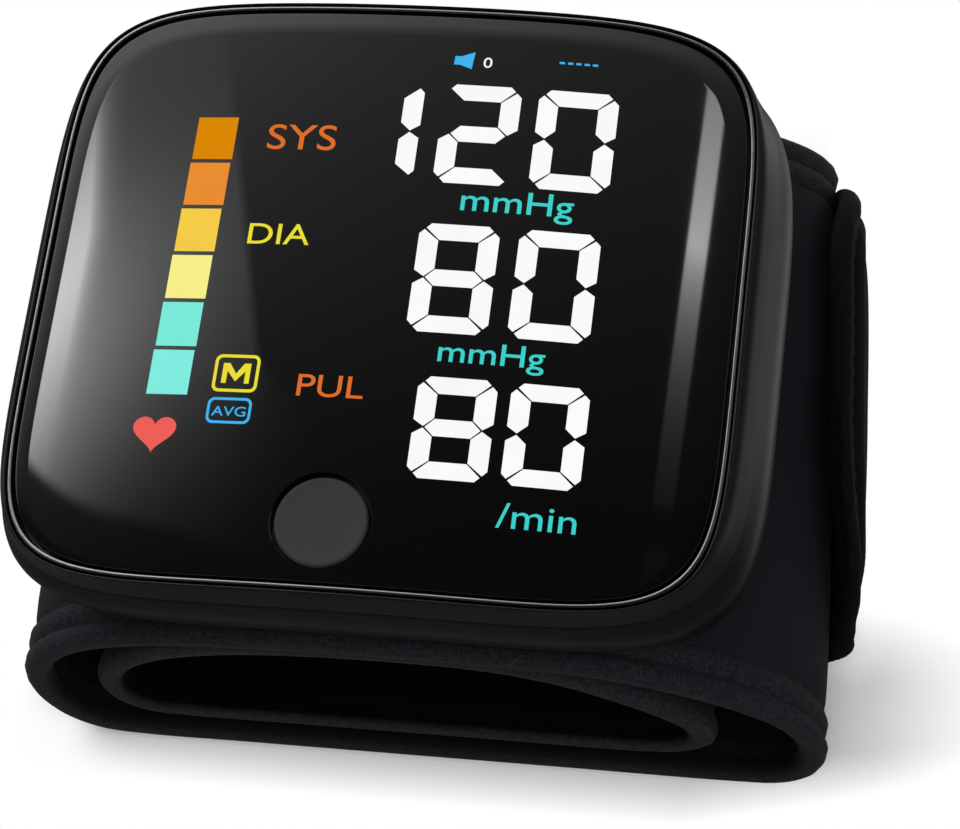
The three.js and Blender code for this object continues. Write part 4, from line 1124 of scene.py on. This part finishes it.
# Hook fastener on the inner face of the loose end: a thin woven base with rows of small hooks
HOOK_PITCH = 0.95
HOOK_SIZES = (0.3, 0.45, 0.34)
HOOK_MARGIN = 0.8
HOOK_BASE_OUT = 0.3
HOOK_BASE_IN = 0.05
HOOK_ROOT = 0.34
HOOK_ROW_STEP = 18
HOOK_ROW_MARGIN = 8


def hook_pad():
    low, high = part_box("hook_patch")
    dense = even_line(TAIL_POINTS[1:], TAIL_STEP)
    keep = dense[(dense[:, 1] > low.z / MM) & (dense[:, 1] < high.z / MM)]
    normals = line_normals(keep)
    rows = []
    for y in np.linspace(-HOOK_HALF_WIDTH, HOOK_HALF_WIDTH, 30):
        loop = []
        for offset, order in ((TAIL_HALF + HOOK_BASE_OUT, 1), (TAIL_HALF + HOOK_BASE_IN, -1)):
            for p, n in list(zip(keep, normals))[::order * 10]:
                x, z = p + n * offset
                at_y = TAIL_CENTRE_Y + y
                loop.append((tail_lean(x, at_y, z), at_y, z))
        rows.append(loop)
    faces = skin_faces(len(rows), len(rows[0]), caps=True)
    base = make_piece("hook_base", to_frame(np.vstack(rows)), faces, hook_nylon, 40)
    settle_on(base, "cuff_tail", ["hook_patch"])
    runs, ups = [], []
    reach = HOOK_HALF_WIDTH - HOOK_MARGIN
    ys = np.linspace(-reach, reach, 40) + TAIL_CENTRE_Y
    for i in range(HOOK_ROW_MARGIN, len(keep) - HOOK_ROW_MARGIN, HOOK_ROW_STEP):
        x, z = keep[i] + normals[i] * (TAIL_HALF + HOOK_ROOT)
        runs.append(np.array([(tail_lean(x, y, z), y, z) for y in ys]))
        ups.append(np.tile((normals[i][0], 0.0, normals[i][1]), (len(ys), 1)))
    hooks = row_piece("hook_rows", hook_rows, runs, ups, hook_nylon, HOOK_PITCH, *HOOK_SIZES)
    settle_on(hooks, "cuff_tail")


# Display: flat lit marks that follow the arch of the window
MARK_LIFT = 0.045
MARK_SINK = -0.03


def window_height(x):
    return RIM_HEIGHT + LENS_TOP - arch(np.asarray(x, float))


# Closed thin plates from outlines in face millimetres
def marks(name, outlines, finish):
    points, faces = [], []
    for shape in outlines:
        shape = np.array(shape, float)
        count = len(shape)
        start = len(points)
        for lift in (MARK_LIFT, MARK_SINK):
            for x, y in shape:
                points.append((x, y, float(window_height(x)) + lift))
        faces.append(tuple(range(start, start + count)))
        faces.append(tuple(range(start + 2 * count - 1, start + count - 1, -1)))
        for k in range(count):
            n = (k + 1) % count
            faces.append((start + n, start + k, start + count + k, start + count + n))
    piece = make_piece(name, to_frame(points), faces, finish, sharp=20)
    return settle_on(piece, "monitor")


# Ring-shaped plate between an outer and an inner outline
def frame_mark(name, outer, inner, finish):
    points = []
    for loop, lift in ((outer, MARK_LIFT), (inner, MARK_LIFT), (inner, MARK_SINK), (outer, MARK_SINK)):
        points += [(x, y, float(window_height(x)) + lift) for x, y in loop]
    faces = skin_faces(4, len(outer), join_ends=True)
    return settle_on(make_piece(name, to_frame(points), faces, finish, sharp=20), "monitor")


# Seven strokes of a digit, with mitred ends and cut corners
STROKE_X = 2.25
STROKE_Y = 2.0
CORNER_CUT = 1.3
STROKE_GAP = 0.2
STROKES = {"0": "abcdef", "1": "bc", "2": "abged", "8": "abcdefg"}


def digit_strokes(kind, x0, x1, y0, y1):
    g = STROKE_GAP
    c = CORNER_CUT
    middle = (y0 + y1) / 2
    sx, sy = STROKE_X, STROKE_Y
    top = [
        (x0 + (c + g) / 2, y1 - (c - g) / 2), (x0 + c, y1), (x1 - c, y1),
        (x1 - (c + g) / 2, y1 - (c - g) / 2), (x1 - sx - g / 2, y1 - sy), (x0 + sx + g / 2, y1 - sy),
    ]
    upper_left = [
        (x0 + (c - g) / 2, y1 - (c + g) / 2), (x0 + sx, y1 - sy - g / 2), (x0 + sx, middle + sy / 2 + g / 2),
        (x0 + sx / 2, middle + g / 2), (x0, middle + sy * 0.42), (x0, y1 - c),
    ]

    def flip_x(shape):
        return [(x0 + x1 - x, y) for x, y in reversed(shape)]

    def flip_y(shape):
        return [(x, y0 + y1 - y) for x, y in reversed(shape)]

    bar = [
        (x0 + sx / 2 + g, middle), (x0 + sx + g / 2, middle + sy / 2), (x1 - sx - g / 2, middle + sy / 2),
        (x1 - sx / 2 - g, middle), (x1 - sx - g / 2, middle - sy / 2), (x0 + sx + g / 2, middle - sy / 2),
    ]
    strokes = {
        "a": top, "b": flip_x(upper_left), "c": flip_y(flip_x(upper_left)), "d": flip_y(top),
        "e": flip_y(upper_left), "f": upper_left, "g": bar,
    }
    return [strokes[k] for k in STROKES[kind]]


def rounded_box(x0, x1, y0, y1, radius, steps=6):
    right, left = x1 - radius, x0 + radius
    high, low = y1 - radius, y0 + radius
    loop = []
    for quarter, (x, y) in enumerate(((right, high), (left, high), (left, low), (right, low))):
        for k in range(steps + 1):
            turn = math.pi / 2 * (quarter + k / steps)
            loop.append((x + radius * math.cos(turn), y + radius * math.sin(turn)))
    return loop


# Plain lettering laid on the window, set by its left end, base line and width, a little low for it
LETTER_TALL = 0.82


def lettering(name, words, x, y, width, finish, weight=0.0):
    text = bpy.data.curves.new(name, "FONT")
    text.body = words
    text.resolution_u = 6
    text.offset = weight
    text.extrude = 0.5
    source = put(name + "_source", text)
    mesh = baked(source)
    bpy.data.objects.remove(source)
    points = np.zeros(len(mesh.vertices) * 3)
    mesh.vertices.foreach_get("co", points)
    points = points.reshape(-1, 3)
    scale = width / np.ptp(points[:, 0])
    at_x = x + (points[:, 0] - points[:, 0].min()) * scale
    at_y = y + points[:, 1] * scale * LETTER_TALL
    lift = np.where(points[:, 2] > 0, MARK_LIFT, MARK_SINK)
    placed = to_frame(np.column_stack([at_x, at_y, window_height(at_x) + lift]))
    mesh.vertices.foreach_set("co", placed.ravel())
    mesh.materials.clear()
    mesh.materials.append(finish)
    mesh.update()
    return settle_on(put(name, mesh), "monitor")


# Outline of a plain capital M in a box
def letter_m(x0, x1, y0, y1):
    stem = 0.55
    middle = (x0 + x1) / 2
    tall = y1 - y0
    left = [
        (middle, y0 + 0.1 * tall), (x0 + stem, y1 - 0.38 * tall), (x0 + stem, y0), (x0, y0), (x0, y1),
        (x0 + 0.75, y1),
    ]
    right = [(x0 + x1 - x, y) for x, y in reversed(left[1:])]
    return left + [(middle, y0 + 0.48 * tall)] + right


# Coloured scale at the left, from the top down, each block a little further left
SCALE_COLOURS = ("#e08a06", "#ef9034", "#f9d04a", "#fdf58c", "#7cf0dd", "#84f0e4")
SCALE_TOP = 21.0
SCALE_BASE = -14.4
SCALE_LEFT = -24.3
SCALE_RIGHT = -19.5
SCALE_GAP = 0.5
SCALE_LEAN = 0.1


def scale_marks():
    block_height = (SCALE_TOP - SCALE_BASE) / len(SCALE_COLOURS)
    for k, colour in enumerate(SCALE_COLOURS):
        left = SCALE_LEFT - SCALE_LEAN * k
        right = SCALE_RIGHT - SCALE_LEAN * k
        high = SCALE_TOP - k * block_height
        low = high - block_height + SCALE_GAP
        box = [(left, low), (right, low), (right, high), (left, high)]
        marks("scale_block_%d" % (k + 1), [box], lit("scale_light_%d" % (k + 1), colour))


# Everything that is lit on the window
UNIT_WEIGHT = 0.004


def display_marks():
    white = lit("mark_white", "#ffffff")
    teal = lit("mark_teal", "#3fd5cf")
    orange = lit("mark_orange", "#e2702c")
    yellow = lit("mark_yellow", "#efe337")
    blue = lit("mark_blue", "#41b8f5")
    coral = lit("mark_coral", "#f2625a")
    digits = []
    rows = (
        (13.5, 26.1, (("1", -6.6, 2.0), ("2", 4.3, 13.2), ("0", 15.2, 24.3))),
        (-5.0, 8.3, (("8", 3.7, 12.8), ("0", 15.0, 24.1))),
        (-22.3, -10.3, (("8", 6.0, 14.8), ("0", 16.3, 24.9))),
    )
    for y0, y1, row in rows:
        for kind, x0, x1 in row:
            digits += digit_strokes(kind, x0, x1, y0, y1)
    marks("digits", digits, white)
    scale_marks()
    turn = np.linspace(0, 2 * math.pi, 48, endpoint=False)
    heart_x = 16 * np.sin(turn) ** 3
    heart_y = 13 * np.cos(turn) - 5 * np.cos(2 * turn) - 2 * np.cos(3 * turn) - np.cos(4 * turn)
    heart = [(-23.1 + x * 0.157, -18.45 + y * 0.148) for x, y in zip(heart_x[::-1], heart_y[::-1])]
    marks("heart", [heart], coral)
    labels = (
        ("label_upper", "SYS", -15.6, 17.0, 8.1, orange),
        ("label_lower", "DIA", -16.0, 4.9, 7.2, yellow),
        ("label_beats", "PUL", -7.5, -13.5, 7.5, orange),
        ("unit_upper", "mmHg", 7.9, 10.2, 12.7, teal, UNIT_WEIGHT),
        ("unit_lower", "mmHg", 7.7, -8.4, 11.8, teal, UNIT_WEIGHT),
        ("unit_beats", "/min", 16.4, -27.2, 8.6, teal),
        ("sound_level", "0", 8.3, 28.5, 1.0, white),
    )
    for label in labels:
        lettering(*label)
    memory_outer = rounded_box(-17.3, -12.1, -13.4, -8.9, 0.8)
    memory_inner = rounded_box(-16.95, -12.45, -13.05, -9.25, 0.5)
    frame_mark("memory_frame", memory_outer, memory_inner, yellow)
    marks("memory_letter", [letter_m(-16.3, -13.1, -12.35, -9.95)], yellow)
    mean_outer = rounded_box(-17.4, -12.3, -17.2, -14.1, 0.8)
    mean_inner = rounded_box(-17.1, -12.6, -16.9, -14.4, 0.55)
    frame_mark("mean_frame", mean_outer, mean_inner, blue)
    lettering("mean_letters", "AVG", -16.8, -16.3, 3.9, blue)
    speaker = [(4.9, 28.7), (5.6, 28.7), (7.0, 28.2), (7.2, 30.4), (5.7, 29.8), (4.95, 29.8)]
    marks("sound_sign", [speaker], blue)
    starts = np.arange(17.0, 21.3, 0.95)
    dashes = [[(x, 29.6), (x + 0.6, 29.6), (x + 0.6, 29.85), (x, 29.85)] for x in starts]
    marks("status_dashes", dashes, blue)


front_shell()
rear_shell()
battery_door()
trim_bead()
window()
button_cap()
outer_strap()
inner_band()
strap_tail()
hook_pad()
display_marks()

# Finishes of the carried pieces
carried = {
    seal_rubber: ("lens_seal", "pump_pad", "speaker_ring"),
    dark_resin: (
        "switch_body", "battery_tray", "controller_chip", "power_coil", "pressure_sensor", "pump_head",
        "speaker", "air_port", "cuff_plate",
    ),
    plunger_red: ("switch_plunger",),
    board_green: ("main_board",),
    white_resin: ("light_box", "air_manifold", "pump_crank"),
    film_dark: ("display_film",),
    cell_jacket: ("battery_cell_1", "battery_cell_2"),
    steel_plain: (
        "contact_link", "contact_spring_1", "contact_spring_2", "pump_motor", "valve_body", "valve_plunger",
        "case_screw_1", "case_screw_2", "case_screw_3", "case_screw_4",
    ),
    hose_silicone: ("pump_hose", "cuff_hose"),
    bladder_vinyl: ("air_bladder",),
}
for finish, names in carried.items():
    for name in names:
        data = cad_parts[name].data
        data.materials.clear()
        data.materials.append(finish)


# Pale floor with the part's shadow close round it, plain white beyond; glossy rays see a painted reflection
# in its place, dark with a white strip at the right
FLOOR_HALF = 3.0
FLOOR_SINK = -0.00005
FLOOR_COLOUR = (0.95, 0.95, 0.95, 1.0)
# Strength of the painted reflection that glossy rays see on the floor: the strip at the right and the dark
# rest
STRIP_LIGHT = 0.75
DARK_LIGHT = 0.07
FOOT_X = 0.0495
FOOT_Y = 0.0395
FADE_LEFT = 0.005
FADE_RIGHT = 0.017
FADE_FRONT = 0.006
FADE_BACK = 0.01
SHADOW_BACK = -0.027


def pale_floor():
    finish = new_finish("pale_floor")
    x, y, _ = finish.axes(finish.place())
    left = (-FOOT_X - x).most(0.0) / FADE_LEFT
    right = (x - FOOT_X).most(0.0) / FADE_RIGHT
    front = ((x - 0.03).most(0.0) * 0.25 - FOOT_Y - y).most(0.0) / FADE_FRONT
    back = (y - FOOT_Y).most(0.0) / FADE_BACK
    beside = (y - SHADOW_BACK).most(0.0) / FADE_BACK * ((x - 0.04) / 0.01).clip()
    share = (left ** 2 + right ** 2 + front ** 2 + back ** 2 + beside ** 2) ** 0.5
    plain = share.clip() ** 1.25 * finish.ray("Is Camera Ray").most(finish.ray("Is Transmission Ray"))
    matt = finish.value("ShaderNodeBsdfDiffuse", 0, {"Color": FLOOR_COLOUR})
    shown = finish.blend(plain, matt, finish.glow(1.0))
    # Painted reflection for glossy rays: a dim glow over the floor with a brighter strip at the right, not
    # the lit floor
    reflected_strip = ((x - 0.045) / 0.02).clip() * ((0.1 - x) / 0.045).clip() * ((y + 0.025) / 0.035).clip()
    painted_reflection = finish.glow(reflected_strip * STRIP_LIGHT + DARK_LIGHT)
    both = finish.blend(finish.ray("Is Glossy Ray"), shown, painted_reflection)
    finish.node("ShaderNodeOutputMaterial", {"Surface": both})
    mesh = bpy.data.meshes.new("floor")
    signs = ((-1, -1), (1, -1), (1, 1), (-1, 1))
    corners = [(side_x * FLOOR_HALF, side_y * FLOOR_HALF, FLOOR_SINK) for side_x, side_y in signs]
    mesh.from_pydata(corners, [], [(0, 1, 2, 3)])
    mesh.materials.append(finish.owner)
    floor = put("floor", mesh)


# Studio round the part, drawn over the sky by the slopes a and b from straight up
BOX_MIDDLE = 0.49
BOX_SPREAD = 0.074
BOX_LIGHT = 0.64
BOX_GROWTH = 6.9
BRIM_PLACE = -0.716
BRIM_MIDDLE = 0.55
BRIM_SPREAD_UP = 0.09
BRIM_SPREAD_DOWN = 0.063
BRIM_LIGHT = 7.0
TUBE_PLACE = 0.155
TUBE_SLANT = 0.083
TUBE_HALF = 0.0145
TUBE_GAP = 0.374
TUBE_GAP_HALF = 0.007
TUBE_END = 0.575
TUBE_BRIGHTEST = 0.49
TUBE_LIGHT = 7.0
LOW_LIGHT = 0.12


# Tall box at the left with straight edges and a brim that shows in the window's rounded edge
def left_box(a, b):
    outer = (-0.45 - a).most(-0.2).least(0.5)
    bulge = (((b - BOX_MIDDLE) / BOX_SPREAD) ** 2 * -1.0).exp()
    brim_edge = BRIM_PLACE - (b - 0.555).most(0.0) * 0.45
    brim_above = (b - BRIM_MIDDLE).most(0.0) / BRIM_SPREAD_UP
    brim_below = (BRIM_MIDDLE - b).most(0.0) / BRIM_SPREAD_DOWN
    brim_fade = ((brim_above ** 2 + brim_below ** 2) * -1.0).exp()
    brim = ((brim_edge - a) * 65.0).least(0.0).exp() * brim_fade
    softness = ((0.445 - b) * 4.0).most(0.0).least(0.12) + 0.014
    inner_edge = ((softness * 0.5 - 0.41 - (b - 0.47) * 0.8 - a) / softness).clip()
    reach = a * -1.0 - 0.571
    bend = reach.most(0.0)
    lower_edge = ((b - 0.3954 - reach * 0.18 - bend * bend * 0.6) / 0.006).clip()
    outer_edge = ((a + 0.764) / 0.008).clip()
    light = (outer * BOX_GROWTH).exp() * bulge * BOX_LIGHT + brim * BRIM_LIGHT
    return light * inner_edge * lower_edge * outer_edge


# Slim tube at the right with a dark gap
def slim_tube(a, b):
    tube = ((TUBE_HALF - abs(a - TUBE_PLACE - (b - 0.4) * TUBE_SLANT)) * 400.0).clip()
    tube = tube * ((abs(b - TUBE_GAP) - TUBE_GAP_HALF) * 300.0).clip()
    tube = tube * ((TUBE_END - b) * 150.0).clip()
    over = (b - TUBE_BRIGHTEST).most(0.0) * 10.0
    under = (TUBE_BRIGHTEST - b).most(0.0) * 42.0
    return tube * (over * -1.0 - under).exp() * TUBE_LIGHT


# Faint glow that grows toward the back
def back_glow(a, b):
    depth = (b - 0.36).most(0.0).least(0.4)
    return (depth * depth * 4.3 + depth * 0.9 + 0.03) * (0.64 - a * 0.9).most(0.2).least(1.3)


def studio_world():
    world = bpy.data.worlds.new("studio")
    bpy.context.scene.world = world
    sky = Finish(world)
    x, y, up = sky.axes(sky.place("Generated"))
    height = up.most(0.02)
    a = x / height
    b = y / height
    above = (up * 20.0).clip()
    low = ((0.3 - up) / 0.25).clip() * LOW_LIGHT
    light = (left_box(a, b) + slim_tube(a, b) + back_glow(a, b)) * above + low
    light = light + sky.ray("Is Camera Ray") * (1.0 - light)
    shade = sky.value("ShaderNodeBackground", 0, {"Color": WHITE, "Strength": light})
    sky.node("ShaderNodeOutputWorld", {"Surface": shade})


# Lamps over the part that give soft light and show in no gloss
PANEL_AIM = (0.0, 0.0, 0.02)


def soft_panel(name, place, size, power):
    lamp = bpy.data.lights.new(name, "AREA")
    lamp.shape = "SQUARE"
    lamp.size = size
    lamp.energy = power
    panel = put(name, lamp)
    panel.location = place
    aim = np.array(PANEL_AIM) - np.array(place)
    flat = math.hypot(aim[0], aim[1])
    panel.rotation_euler = (math.atan2(flat, -aim[2]), 0.0, math.atan2(aim[1], aim[0]) - math.pi / 2)
    panel.visible_glossy = False


pale_floor()
studio_world()
soft_panel("key_panel", (-0.5, 0.3, 0.8), 0.6, 5.2)
soft_panel("front_panel", (0.16, -0.45, 0.95), 0.7, 4.6)
soft_panel("side_panel", (0.8, -0.2, 0.55), 0.6, 2.6)
